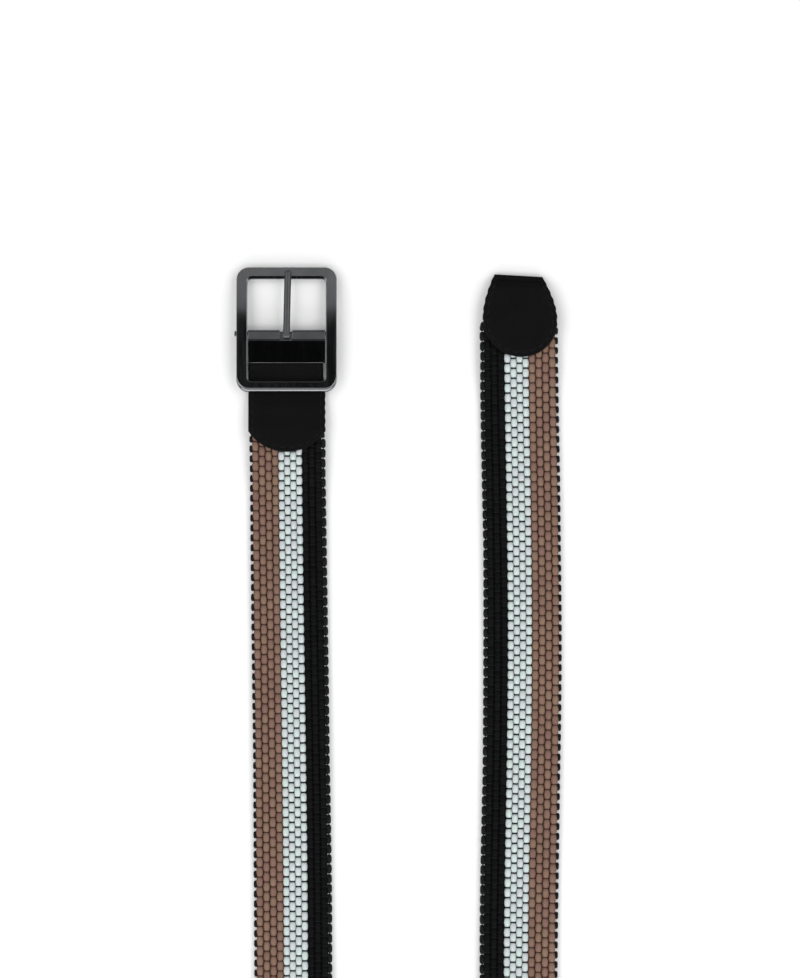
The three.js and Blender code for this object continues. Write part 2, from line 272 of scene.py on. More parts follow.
class Graph:
    """Writes nodes and their links into one node tree."""

    def __init__(self, tree: bpy.types.NodeTree) -> None:
        """Start on a tree."""
        self.tree = tree

    def node(self, kind: str, inputs: dict | None = None, **settings: object) -> bpy.types.Node:
        """Add a node.

        Args:
            kind: Type name of the node.
            inputs: Sockets or plain values by input name or number.
            **settings: Properties of the node.

        Returns:
            The new node.
        """
        node = self.tree.nodes.new(kind)
        for key, value in settings.items():
            setattr(node, key, value)
        for key, value in (inputs or {}).items():
            self.feed(node.inputs[key], value)
        return node

    def feed(self, socket: Socket, value: object) -> None:
        """Link a socket to an input, or set the input to a plain value.

        Args:
            socket: Input to set.
            value: Socket to link, or a plain value.
        """
        if isinstance(value, Socket):
            self.tree.links.new(value, socket)
        else:
            socket.default_value = value

    def output(self, kind: str, inputs: dict | None = None, **settings: object) -> Socket:
        """Add a node and return its first output."""
        return self.node(kind, inputs, **settings).outputs[0]

    def math(self, operation: str, *values: object) -> Socket:
        """Arithmetic on numbers."""
        return self.output("ShaderNodeMath", dict(enumerate(values)), operation=operation)

    def vector(self, operation: str, *values: object) -> Socket:
        """Arithmetic on vectors."""
        return self.output("ShaderNodeVectorMath", dict(enumerate(values)), operation=operation)

    def times(self, *values: object) -> Socket:
        """Product of several numbers.

        Args:
            *values: Sockets or plain numbers.

        Returns:
            Socket with the product.
        """
        product = values[0]
        for value in values[1:]:
            product = self.math("MULTIPLY", product, value)
        return product

    def total(self, *values: object) -> Socket:
        """Sum of several numbers.

        Args:
            *values: Sockets or plain numbers.

        Returns:
            Socket with the sum.
        """
        result = values[0]
        for value in values[1:]:
            result = self.math("ADD", result, value)
        return result

    def less(self, value: object, taken: object) -> Socket:
        """A number less another."""
        return self.math("SUBTRACT", value, taken)

    def scaled(self, direction: object, length: object) -> Socket:
        """A direction times a length."""
        sockets = {0: direction, "Scale": length}
        return self.output("ShaderNodeVectorMath", sockets, operation="SCALE")

    def between(self, value: object, low: float, high: float, ends: tuple = (0, 1)) -> Socket:
        """Ease a number from the first of the ends at low to the second at high."""
        sockets = {0: value, 1: low, 2: high, 3: ends[0], 4: ends[1]}
        return self.output("ShaderNodeMapRange", sockets, interpolation_type="SMOOTHSTEP")

    def power_of(self, value: object, power: float) -> Socket:
        """Power of the size of a number, with the number's own sign."""
        return self.times(self.math("SIGN", value), self.math("POWER", self.math("ABSOLUTE", value), power))


class GeometryTree(Graph):
    """A geometry node tree with named inputs, run once on an object."""

    def __init__(self, name: str, inputs: dict[str, float | int | bpy.types.Material]) -> None:
        """Make the tree.

        Args:
            name: Name of the tree.
            inputs: Value of each named input.
        """
        tree = bpy.data.node_groups.new(name, "GeometryNodeTree")
        super().__init__(tree)
        tree.interface.new_socket("Geometry", in_out="OUTPUT", socket_type="NodeSocketGeometry")
        tree.interface.new_socket("Geometry", in_out="INPUT", socket_type="NodeSocketGeometry")
        kinds = {int: "NodeSocketInt", float: "NodeSocketFloat", bpy.types.Material: "NodeSocketMaterial"}
        self.values = inputs
        self.sockets = {
            key: tree.interface.new_socket(key, in_out="INPUT", socket_type=kinds[type(value)])
            for key, value in inputs.items()
        }
        self.entry = self.node("NodeGroupInput")

    def given(self, name: str) -> Socket:
        """A named input."""
        return self.entry.outputs[name]

    def attribute(self, name: str, kind: str = "FLOAT") -> Socket:
        """A named attribute."""
        node = self.node("GeometryNodeInputNamedAttribute", {"Name": name}, data_type=kind)
        return node.outputs["Attribute"]

    def stored(
        self, geometry: Socket, name: str, value: Socket, kind: str = "FLOAT", domain: str = "POINT"
    ) -> Socket:
        """Store a value on the geometry under a name."""
        sockets = {"Geometry": geometry, "Name": name, "Value": value}
        return self.output("GeometryNodeStoreNamedAttribute", sockets, data_type=kind, domain=domain)

    def sampled(self, curve: object, factor: object, attribute: str, kind: str) -> Socket:
        """An attribute of a curve at a share of its length."""
        sockets = {"Curves": curve, "Factor": factor, "Value": self.attribute(attribute, kind)}
        return self.node("GeometryNodeSampleCurve", sockets, data_type=kind, mode="FACTOR").outputs["Value"]

    def finish(self, geometry: object) -> None:
        """End the tree: plain mesh, smooth, with the material input on it."""
        real = self.output("GeometryNodeRealizeInstances", {"Geometry": geometry})
        shaded = self.output("GeometryNodeSetShadeSmooth", {0: real})
        sockets = {"Geometry": shaded, "Material": self.given("Material")}
        dressed = self.output("GeometryNodeSetMaterial", sockets)
        self.node("NodeGroupOutput", {"Geometry": dressed})

    def run(self, source: Object, name: str) -> Object:
        """Run the tree on an object and keep the result as a plain mesh.

        Args:
            source: Object whose geometry the tree starts from. It is removed.
            name: Name of the new object.

        Returns:
            The new object, without a modifier.
        """
        modifier = source.modifiers.new(self.tree.name, "NODES")
        modifier.node_group = self.tree
        for key, value in self.values.items():
            modifier[self.sockets[key].identifier] = value
        mesh = baked(source)
        mesh.name = name
        bpy.data.objects.remove(source)
        return linked(name, mesh)


# Finishes


class ShaderGroups:
    """Node groups that several finishes share, each built once."""

    built: dict[str, bpy.types.NodeTree] = {}

    @classmethod
    def group(cls, name: str, inputs: dict[str, float], output: str, fill: Callable) -> bpy.types.NodeTree:
        """Find or build a group.

        Args:
            name: Name of the group.
            inputs: Default of each number input. One of them is Size.
            output: Name of the number output.
            fill: Adds the group's own nodes, from its graph, its inputs, Object coordinates and 1 / Size.

        Returns:
            The group.
        """
        if name not in cls.built:
            tree = cls.built[name] = bpy.data.node_groups.new(name, "ShaderNodeTree")
            for key, value in inputs.items():
                socket = tree.interface.new_socket(key, in_out="INPUT", socket_type="NodeSocketFloat")
                socket.default_value = value
            tree.interface.new_socket(output, in_out="OUTPUT", socket_type="NodeSocketFloat")
            graph = Graph(tree)
            entry = graph.node("NodeGroupInput").outputs
            place = graph.node("ShaderNodeTexCoord").outputs["Object"]
            scale = graph.math("DIVIDE", 1.0, entry["Size"])
            graph.node("NodeGroupOutput", {output: fill(graph, entry, place, scale)})
        return cls.built[name]

    @classmethod
    def mottle(cls) -> bpy.types.NodeTree:
        """Slow unevenness of a surface over a few millimetres, from 0 to 1.

        Returns:
            Group with the output Mask.
        """

        def fill(graph: Graph, entry: Sequence[Socket], place: Socket, scale: Socket) -> Socket:
            """Soft noise, stretched by the contrast."""
            noise = graph.output("ShaderNodeTexNoise", {"Vector": place, "Scale": scale, "Detail": 3.0})
            spread = graph.times(graph.less(noise, 0.5), entry["Contrast"])
            return graph.output("ShaderNodeClamp", {"Value": graph.total(spread, 0.5)})

        return cls.group("mottle", {"Size": 0.01, "Contrast": 1.0}, "Mask", fill)

    @classmethod
    def pebble(cls) -> bpy.types.NodeTree:
        """Small rounded cells with creases between them, from 0 in a crease to 1 on a cell.

        Returns:
            Group with the output Height.
        """

        def fill(graph: Graph, _: Sequence[Socket], place: Socket, scale: Socket) -> Socket:
            """Rounded cells with fine pores."""
            sockets = {"Vector": place, "Scale": scale, "Smoothness": 0.5}
            cells = graph.output("ShaderNodeTexVoronoi", sockets, feature="SMOOTH_F1")
            fine = {"Vector": place, "Scale": graph.times(scale, 3.0), "Detail": 2.0}
            pores = graph.output("ShaderNodeTexNoise", fine)
            rounded = graph.less(1.0, graph.math("POWER", cells, 2.0))
            return graph.total(rounded, graph.times(pores, 0.35))

        return cls.group("pebble", {"Size": 0.001}, "Height", fill)


class Material(Graph):
    """A material with one Principled shader."""

    def __init__(self, name: str, plain: dict[str, object]) -> None:
        """Make the material.

        Args:
            name: Name of the material.
            plain: Values that are the same all over the surface, by shader input.
        """
        self.material = bpy.data.materials.new(name)
        self.material.use_nodes = True
        tree = self.material.node_tree
        tree.nodes.clear()
        super().__init__(tree)
        self.shader = self.node("ShaderNodeBsdfPrincipled", plain)
        self.node("ShaderNodeOutputMaterial", {"Surface": self.shader.outputs[0]})

    def effect(self, tree: bpy.types.NodeTree, **inputs: object) -> Socket:
        """Place a shared group and return its first output.

        Args:
            tree: The group.
            **inputs: Values of its inputs.

        Returns:
            The group's first output.
        """
        node = self.node("ShaderNodeGroup", node_tree=tree)
        for key, value in inputs.items():
            self.feed(node.inputs[key], value)
        return node.outputs[0]

    def mixed(self, share: object, first: object, second: object, blend: str = "MIX") -> Socket:
        """Mix two colours. The node's colour sockets are its inputs 6 and 7 and its output 2."""
        sockets = {0: share, 6: first, 7: second}
        return self.node("ShaderNodeMix", sockets, data_type="RGBA", blend_type=blend).outputs[2]

    def cover(self, colour: Socket, roughness: Socket | None = None) -> None:
        """Set the colour, and the roughness where it changes over the surface.

        Args:
            colour: Socket with the colour.
            roughness: Socket with the roughness.
        """
        self.feed(self.shader.inputs["Base Color"], colour)
        if roughness:
            self.feed(self.shader.inputs["Roughness"], roughness)

    def bump(self, height: object, distance: float, strength: float = 1.0) -> None:
        """Raise the surface by a height from 0 to 1, over a distance in metres."""
        node = self.node("ShaderNodeBump", {"Height": height, "Distance": distance, "Strength": strength})
        self.feed(self.shader.inputs["Normal"], node.outputs[0])


def brighter(colour: Colour, times: float) -> Colour:
    """A colour some times as bright, at most white."""
    return tuple(min(1.0, times * c) for c in colour[:3]) + (1.0,)


@dataclass(frozen=True)
class CordFinish:
    """Braided cord in two close tones, with its strands and the painted shade between cords."""

    name: str
    colour: Colour
    second: Colour
    shadow: Colour
    tone_spread: float = 0.15
    roughness: float = 0.75
    sheen: float = 0.25
    specular: float = 0.2
    strand_width: float = 0.00052
    strand_height: float = 0.00012
    # Painted light on the strands and painted shade in the gaps between them, as factors of the colour.
    strand_light: float = 0.16
    gap_light: float = 0.9
    # Range of the stored attribute over which the painted shade comes in.
    crevice_shade_range: Place = (0.08, 0.95)

    def build(self) -> bpy.types.Material:
        """Make the material.

        Returns:
            Material that reads the cord's UV map, its tone and the attribute of its painted shade in the
            crevices.
        """
        tint = brighter(self.colour, 3)
        plain = {"Sheen Weight": self.sheen, "Sheen Roughness": 0.4, "Sheen Tint": tint}
        plain |= {"Metallic": 0.0, "Specular IOR Level": self.specular}
        out = Material(self.name, plain)
        strand = self.strands(out)
        tone = out.node("ShaderNodeAttribute", attribute_name="tone").outputs["Fac"]
        crevice_shade = out.node("ShaderNodeAttribute", attribute_name="crevice_shade").outputs["Fac"]
        mottle = out.effect(ShaderGroups.mottle(), Size=0.012, Contrast=1.4)
        spread = out.times(out.less(out.total(tone, mottle), 1.0), self.tone_spread)
        # Painted shade between strands: the colour is darker in the gaps between strands and lighter on
        # them, with the random tone spread on top.
        light = out.total(out.times(strand, self.strand_light), spread, self.gap_light)
        strand_shade_and_tone = out.output("ShaderNodeCombineColor", dict.fromkeys(range(3), light))
        shade = out.mixed(tone, self.colour, self.second)
        base = out.mixed(1.0, shade, strand_shade_and_tone, "MULTIPLY")
        rough = out.between(strand, 0, 1, (self.roughness + 0.1, self.roughness))
        # Painted shade: the colour goes towards the shadow colour in the notches between bricks and along
        # the flanks of the cords.
        out.cover(out.mixed(out.between(crevice_shade, *self.crevice_shade_range), base, self.shadow), rough)
        out.bump(strand, self.strand_height, 0.8)
        return out.material

    def strands(self, out: Material) -> Socket:
        """Fine plaited strands over the cord, from 0 between strands to 1 on one.

        Args:
            out: Material that is being made.

        Returns:
            Socket with the strands' height.
        """
        uv = out.output("ShaderNodeUVMap", uv_map="UVMap")
        split = out.node("ShaderNodeSeparateXYZ", {0: uv}).outputs
        waves = []
        for slant in (-1.0, 1.0):
            place = out.total(split[0], out.times(split[1], slant))
            waves.append(out.math("SINE", out.times(place, math.pi / self.strand_width)))
        return out.between(out.math("ABSOLUTE", out.times(*waves)), 0.0, 0.6)


@dataclass(frozen=True)
class ThreadFinish:
    """Twisted thread of the weft and the seams."""

    name: str
    colour: Colour
    roughness: float = 0.6
    fibre_size: float = 0.0004
    fibre_height: float = 0.0001

    def build(self) -> bpy.types.Material:
        """Make the material.

        Returns:
            Material with a fine uneven thread surface.
        """
        out = Material(self.name, {"Sheen Weight": 0.01, "Metallic": 0.0, "Specular IOR Level": 0.1})
        fibre = out.effect(ShaderGroups.mottle(), Size=self.fibre_size, Contrast=2.0)
        rough = out.between(fibre, 0, 1, (self.roughness + 0.15, self.roughness))
        out.cover(out.mixed(fibre, self.colour, brighter(self.colour, 1.8)), rough)
        out.bump(fibre, self.fibre_height, 0.7)
        return out.material


@dataclass(frozen=True)
class LeatherFinish:
    """Smooth black leather with a fine grain."""

    name: str
    colour: Colour
    worn: Colour
    roughness: float = 0.46
    grain_size: float = 0.0011
    grain_height: float = 0.00007

    def build(self) -> bpy.types.Material:
        """Make the material.

        Returns:
            Leather that follows Object coordinates.
        """
        out = Material(self.name, {"Metallic": 0.0, "Specular IOR Level": 0.075})
        grain = out.effect(ShaderGroups.pebble(), Size=self.grain_size)
        mottle = out.effect(ShaderGroups.mottle(), Size=0.009, Contrast=1.5)
        rough = out.between(grain, 0.6, 1.3, (self.roughness + 0.1, self.roughness))
        out.cover(out.mixed(mottle, self.colour, self.worn), rough)
        out.bump(grain, self.grain_height, 0.5)
        return out.material


@dataclass(frozen=True)
class MetalFinish:
    """Satin gunmetal plating, brushed lightly in one direction."""

    name: str
    colour: Colour
    dark: Colour
    roughness: float = 0.17
    brushing: tuple[float, float, float] = (900.0, 60.0, 900.0)
    hair_height: float = 0.000002

    def build(self) -> bpy.types.Material:
        """Make the material.

        Returns:
            Metal that follows Object coordinates.
        """
        out = Material(self.name, {"Metallic": 1.0})
        place = out.node("ShaderNodeTexCoord").outputs["Object"]
        stretched = out.output("ShaderNodeMapping", {"Vector": place, "Scale": self.brushing})
        hair = out.output("ShaderNodeTexNoise", {"Vector": stretched, "Scale": 1.0, "Detail": 2.0})
        mottle = out.effect(ShaderGroups.mottle(), Size=0.006, Contrast=1.6)
        rough = out.between(hair, 0.25, 0.75, (self.roughness - 0.03, self.roughness + 0.04))
        out.cover(out.mixed(mottle, self.dark, self.colour), rough)
        out.bump(hair, self.hair_height, 0.2)
        return out.material


# Route of the belt


@dataclass(frozen=True)
class Station:
    """One place of the band: middle, directions across and out of its face, half sizes in millimetres."""

    centre: Vector
    across: Vector
    face: Vector
    half_width: float
    half_thickness: float


@dataclass(frozen=True)
class Route:
    """Line of the belt on the table: down the buckle's leg, round the turn on its edge, up the tip's leg."""

    tip_x: float = 101.1
    turn_shift: float = 2.7
    leg_bow: float = 1.8
    tip_end: float = 25.4
    twist_start: float = -291.4
    twist_length: float = 128.0
    half_width: float = 17.2
    half_thickness: float = 1.7
    outer_cord: float = 1.0
    spacing: float = 1.6

    @property
    def turn_radius(self) -> float:
        """Radius of the turn."""
        return (self.tip_x - self.turn_shift) / 2

    def buckle_leg(self, y: float) -> tuple[Vector, Vector]:
        """Middle and direction of travel of the buckle's leg at y.

        Args:
            y: Place along the belt, in millimetres.

        Returns:
            Middle on the table and direction of travel.
        """
        share = min(max(y / self.twist_start, 0.0), 1.0)
        slope = self.turn_shift * 6 * share * (1 - share) / self.twist_start
        middle = Vector((self.turn_shift * smoothstep(share, 0, 1), y, 0))
        return middle, Vector((-slope, -1, 0)).normalized()

    def tip_leg(self, y: float) -> tuple[Vector, Vector]:
        """Middle and direction of travel of the tip's leg at y.

        Args:
            y: Place along the belt, in millimetres.

        Returns:
            Middle on the table and direction of travel.
        """
        span = self.tip_end - self.twist_start
        share = min(max((self.tip_end - y) / span, 0.0), 1.0)
        slope = -self.leg_bow * math.pi * math.sin(FULL_TURN * share) / span
        middle = Vector((self.tip_x + self.leg_bow * math.sin(math.pi * share) ** 2, y, 0))
        return middle, Vector((slope, 1, 0)).normalized()

    def turn(self, angle: float) -> tuple[Vector, Vector]:
        """Middle and direction of travel at an angle round the turn.

        Args:
            angle: Angle from the buckle's leg, in radians.

        Returns:
            Middle on the table and direction of travel.
        """
        radius = self.turn_radius
        x = self.turn_shift + radius * (1 - math.cos(angle))
        y = self.twist_start - self.twist_length - radius * math.sin(angle)
        return Vector((x, y, 0)), Vector((math.sin(angle), -math.cos(angle), 0))

    def station(self, line: tuple[Vector, Vector], roll: float, sizes: Place, lift: float = 0.0) -> Station:
        """Stand the band's section at a place, on the table or above it.

        Args:
            line: Middle on the table and direction of travel.
            roll: Turn about the direction of travel, in radians.
            sizes: Half width and thickness.
            lift: Height of the underside above the table.

        Returns:
            The station.
        """
        centre, travel = line
        half_width, half_thickness = sizes[0], sizes[1] / 2
        outward = Vector((travel.y, -travel.x, 0))
        up = Vector((0, 0, 1))
        across = outward * math.cos(roll) + up * math.sin(roll)
        face = up * math.cos(roll) - outward * math.sin(roll)
        cords = (half_width - self.outer_cord) * abs(across.z) + half_thickness * abs(face.z)
        reach = max(half_width * abs(across.z), cords)
        return Station(centre + up * (lift + reach), across, face, half_width, half_thickness)

    def stations(self, tab_end: Sequence[Row], tip_end: Sequence[Row]) -> list[Station]:
        """Follow the whole band.

        Args:
            tab_end: Rows of y, half width, thickness and lift at the tab.
            tip_end: The same rows at the tip.

        Returns:
            Stations from the tab to the tip.
        """

        def leg(line: Callable, table: Sequence[Row], start: float, end: float) -> list[Station]:
            """Stations of a leg that lies flat."""
            steps = round(abs(end - start) / self.spacing)
            return [
                self.station(line(y), 0.0, (along(table, 1, y), along(table, 2, y)), along(table, 3, y))
                for y in spaced(start, end, steps)
            ]

        full = (self.half_width, 2 * self.half_thickness)
        shares = spaced(0, 1, round(self.twist_length / self.spacing))[1:]

        def twist(line: Callable, share: float) -> Station:
            """A station where the band turns onto its edge."""
            y = self.twist_start - share * self.twist_length
            return self.station(line(y), math.pi / 2 * smoothstep(share, 0, 1), full)

        angles = spaced(0, math.pi, round(math.pi * self.turn_radius / self.spacing))[1:-1]
        return [
            *leg(self.buckle_leg, tab_end, tab_end[0][0], self.twist_start),
            *(twist(self.buckle_leg, share) for share in shares),
            *(self.station(self.turn(angle), math.pi / 2, full) for angle in angles),
            *(twist(self.tip_leg, share) for share in reversed(shares)),
            *leg(self.tip_leg, tip_end, self.twist_start, tip_end[0][0]),
        ]


@dataclass(frozen=True)
class Stripe:
    """Neighbouring cords of one colour, with places across the band as shares of its half width."""

    finish: CordFinish
    first: int
    cords: int
    start: float
    pitch: float
    notch_depth: float
    notch_reach: float
    # Strength of the painted shade along the flanks of each cord.
    flank_shade_strength: float


def stripes() -> tuple[Stripe, Stripe, Stripe]:
    """The dark, pale and brown stripes, from the dark edge."""
    blacks = (0.0033, 0.0033, 0.0035, 1), (0.0042, 0.0042, 0.0043, 1), (0.0008, 0.0008, 0.0008, 1)
    pales = (0.64, 0.68, 0.695, 1), (0.61, 0.71, 0.68, 1), (0.09, 0.13, 0.125, 1)
    browns = (0.238, 0.14, 0.11, 1), (0.222, 0.144, 0.1, 1), (0.05, 0.014, 0.008, 1)
    dark = CordFinish("dark_cord", *blacks, tone_spread=0.4, roughness=0.7, sheen=0.008, specular=0.08)
    pale = CordFinish("pale_cord", *pales, tone_spread=0.06)
    brown = CordFinish("brown_cord", *browns, tone_spread=0.2)
    return (
        Stripe(dark, 1, 3, -0.879, 0.171, 0.6, 0.45, 0.8),
        Stripe(pale, 4, 4, -0.366, 0.154, 0.6, 0.42, 0.2),
        Stripe(brown, 8, 4, 0.25, 0.171, 0.38, 0.4, 0.95),
    )


@dataclass
class WovenBand:
    """Plain weave of thick cords along the belt and one thread that runs back and forth across them.

    The thread shows in the notches between the bricks of each cord and bulges at both edges, where it turns.
    """

    route: Route = field(default_factory=Route)
    stripes: tuple[Stripe, Stripe, Stripe] = field(default_factory=stripes)
    pick_spacing: float = 2.163
    rows_per_pick: int = 4
    sides: int = 10
    seed: int = 7
    cord_girth: float = 8.6
    fullness: float = 0.56
    waist: float = 0.15
    waist_power: float = 1.3
    flank_power: float = 2.5
    closed_share: float = 1e-5
    level_tolerance: float = 0.01
    crown: float = 0.05
    sway: float = 0.1
    squareness: Place = (0.62, 0.75)
    drift: float = -0.02
    drift_end: Place = (0.3, 0.5)
    thread_radius: float = 0.39
    thread_height: float = 1.05
    brown_sink: float = 0.42
    dark_loop: Row = (1.22, 0.7, 1.25)
    brown_loop: Row = (0.8, 0.48, 1.0)
    loop_squareness: Place = (0.28, 0.4)
    weave_squareness: float = 0.2
    thread_sides: int = 5
    crossing_points: int = 3
    loop_points: int = 6
    tab_end: tuple = (
        (-34.0, 15.0, 1.4, 1.5),
        (-42.5, 15.7, 2.7, 1.5),
        (-46.0, 16.7, 2.9, 1.5),
        (-53.0, 16.7, 3.1, 1.5),
        (-72.0, 16.7, 3.4, 0.0),
        (-291.4, 17.2, 3.4, 0.0),
    )
    tip_end: tuple = (
        (19.5, 12.2, 2.0, 1.5),
        (15.0, 13.9, 2.4, 1.5),
        (7.0, 15.6, 3.0, 1.5),
        (2.5, 17.2, 3.0, 1.5),
        (-12.0, 17.2, 3.1, 1.5),
        (-31.0, 17.2, 3.4, 0.0),
    )

    def __post_init__(self) -> None:
        """Work out the stations and how many picks fit between the ends."""
        self.stations = self.route.stations(self.tab_end, self.tip_end)
        places = [s.centre for s in self.stations]
        length = sum((b - a).length for a, b in zip(places, places[1:]))
        self.picks = 2 * round(length / self.pick_spacing / 2)
        log.info("band: %.0f mm long, %d picks", length, self.picks)

    def guide(self) -> Object:
        """Line of the stations with their directions and sizes, for the node trees.

        Returns:
            Object with a line of edges and an attribute for each direction and size.
        """
        obj = line_of("guide", [placed(*s.centre) for s in self.stations])
        attributes = obj.data.attributes
        for name in ("across", "face"):
            values = [c for s in self.stations for c in getattr(s, name)]
            attributes.new(name, "FLOAT_VECTOR", "POINT").data.foreach_set("vector", values)
        for name in ("half_width", "half_thickness"):
            values = [getattr(s, name) * MM for s in self.stations]
            attributes.new(name, "FLOAT", "POINT").data.foreach_set("value", values)
        return obj

    def frame_at(self, tree: GeometryTree, factor: object) -> dict[str, Socket]:
        """Sample the guide.

        Args:
            tree: Tree that is being built.
            factor: Share of the guide's length.

        Returns:
            Sockets for the middle, both directions and both half sizes. The buckle's leg drifts a little.
        """
        curve = tree.output("GeometryNodeMeshToCurve", {"Mesh": tree.given("Geometry")})
        kinds = dict.fromkeys(("across", "face"), "FLOAT_VECTOR")
        kinds |= dict.fromkeys(("half_width", "half_thickness"), "FLOAT")
        found = {name: tree.sampled(curve, factor, name, kind) for name, kind in kinds.items()}
        node = tree.node("GeometryNodeSampleCurve", {"Curves": curve, "Factor": factor}, mode="FACTOR")
        fading = tree.between(factor, *self.drift_end, (self.drift, 0.0))
        drift = tree.times(found["half_width"], fading)
        found["position"] = tree.vector("ADD", node.outputs["Position"], tree.scaled(found["across"], drift))
        return found

    def warp_tree(self, stripe: Stripe) -> GeometryTree:
        """Build the tree for the cords of one stripe.

        Args:
            stripe: The stripe.

        Returns:
            The tree. Each cord swells into a brick between two picks, on one face and then on the other.
        """
        inputs = {
            "First cord": stripe.first,
            "Cords": stripe.cords,
            "Rows": self.picks * self.rows_per_pick + 1,
            "Picks": float(self.picks),
            "Stripe start": stripe.start,
            "Cord pitch": stripe.pitch,
            "Notch depth": stripe.notch_depth,
            "Notch reach": stripe.notch_reach,
            "Flank shade strength": stripe.flank_shade_strength,
            "Seed": self.seed,
            "Material": stripe.finish.build(),
        }
        tree = GeometryTree("warp", inputs)
        counts = {"Vertices X": tree.given("Rows"), "Vertices Y": self.sides + 1}
        grid = tree.node("GeometryNodeMeshGrid", {"Size X": 1.0, "Size Y": 1.0} | counts)
        position = tree.output("GeometryNodeInputPosition")
        place = tree.node("ShaderNodeSeparateXYZ", {0: position}).outputs
        share = tree.total(place[0], 0.5)
        even = tree.times(share, tree.given("Picks"))
        pick = tree.less(even, tree.times(tree.math("SINE", tree.times(even, FULL_TURN)), self.sway))
        around = tree.total(place[1], 0.5)
        sizes = {0: tree.times(pick, self.pick_spacing * MM), 1: tree.times(around, self.cord_girth * MM)}
        uv = tree.output("ShaderNodeCombineXYZ", sizes)
        sheet = tree.stored(grid.outputs["Mesh"], "UVMap", uv, "FLOAT2", "CORNER")
        sheet = tree.stored(sheet, "pick", pick)
        sheet = tree.stored(sheet, "around", around)
        last = self.closed_share
        ends = tree.times(tree.between(share, 0.0, last), tree.between(share, 1 - last, 1.0, (1.0, 0.0)))
        sheet = tree.stored(sheet, "open", ends)
        line = {"Count": tree.given("Cords"), "Offset": (0, 0, 0)}
        number = tree.total(tree.output("GeometryNodeInputIndex"), tree.given("First cord"))
        starts = tree.stored(tree.output("GeometryNodeMeshLine", line, mode="OFFSET"), "cord", number)
        copies = tree.output("GeometryNodeInstanceOnPoints", {"Points": starts, "Instance": sheet})
        real = tree.output("GeometryNodeRealizeInstances", {0: copies})
        self.shape_cord(tree, real)
        return tree

    def shape_cord(self, tree: GeometryTree, sheet: object) -> None:
        """Roll the sheets of the warp tree into cords and end the tree.

        Args:
            tree: Tree with a sheet for each cord.
            sheet: The sheets, with their pick, around, open and cord attributes.
        """
        pick = tree.attribute("pick")
        cord = tree.attribute("cord")
        at = self.frame_at(tree, tree.math("DIVIDE", pick, tree.given("Picks")))
        angle = tree.times(tree.attribute("around"), FULL_TURN)
        side = tree.math("COSINE", angle)
        rise = tree.math("SINE", angle)
        upper = tree.math("GREATER_THAN", rise, -self.level_tolerance)
        wave = tree.total(pick, cord, tree.less(2.0, upper))
        swollen = tree.math("ABSOLUTE", tree.math("WRAP", wave, 1.0, -1.0))
        near = tree.less(1.0, tree.math("DIVIDE", swollen, tree.given("Notch reach")))
        notch = tree.math("POWER", tree.math("MAXIMUM", near, 0.0), 2.0)
        depth = tree.less(1.0, tree.times(notch, tree.given("Notch depth")))
        crown = tree.total(tree.times(swollen, self.crown), 1 - self.crown)
        pitch = tree.times(at["half_width"], tree.given("Cord pitch"))
        waist = tree.times(tree.math("POWER", tree.less(1.0, swollen), self.waist_power), self.waist)
        width = tree.times(pitch, tree.less(self.fullness, waist), tree.attribute("open"))
        tall = tree.times(at["half_thickness"], depth, crown, tree.attribute("open"))
        column = tree.times(tree.total(tree.less(cord, tree.given("First cord")), 0.5), pitch)
        middle = tree.total(tree.times(at["half_width"], tree.given("Stripe start")), column)
        out = tree.total(middle, tree.times(width, tree.power_of(side, self.squareness[0])))
        up = tree.times(tall, tree.power_of(rise, self.squareness[1]))
        offset = tree.vector("ADD", tree.scaled(at["across"], out), tree.scaled(at["face"], up))
        spot = tree.vector("ADD", at["position"], offset)
        rolled = tree.output("GeometryNodeSetPosition", {0: sheet, "Position": spot})
        # Each brick has a number of its own: cords count below 20, and the upper face adds 20
        brick = tree.math("FLOOR", tree.math("DIVIDE", wave, 2.0))
        label = tree.total(tree.times(brick, 40.0), cord, tree.times(upper, 20.0))
        draw = {"ID": label, "Seed": tree.given("Seed")}
        chance = tree.node("FunctionNodeRandomValue", draw, data_type="FLOAT")
        rolled = tree.stored(rolled, "tone", next(o for o in chance.outputs if o.enabled))
        # Painted shade: the stored attribute is high in the notches between bricks and along each cord's
        # flanks, and the finish darkens the colour there.
        edge = tree.math("POWER", tree.math("ABSOLUTE", side), self.flank_power)
        flank_shade = tree.times(edge, tree.given("Flank shade strength"))
        rolled = tree.stored(rolled, "crevice_shade", tree.math("MAXIMUM", notch, flank_shade))
        merge = tree.output("GeometryNodeMergeByDistance", {"Geometry": rolled, "Distance": 2e-6})
        tree.finish(merge)

    def across_share(self, tree: GeometryTree, cord: object) -> Socket:
        """Place across the band, as a share of its half width, of a place counted in cords.

        Args:
            tree: Tree that is being built.
            cord: Place counted in cords.

        Returns:
            Socket with the share.
        """
        dark, pale, brown = self.stripes
        past_dark = tree.less(cord, pale.first - 0.5)
        past_pale = tree.less(cord, brown.first - 0.5)
        in_dark = tree.times(tree.math("MINIMUM", past_dark, 0.0), dark.pitch - pale.pitch)
        in_brown = tree.times(tree.math("MAXIMUM", past_pale, 0.0), brown.pitch - pale.pitch)
        return tree.total(tree.times(past_dark, pale.pitch), in_dark, in_brown, pale.start)

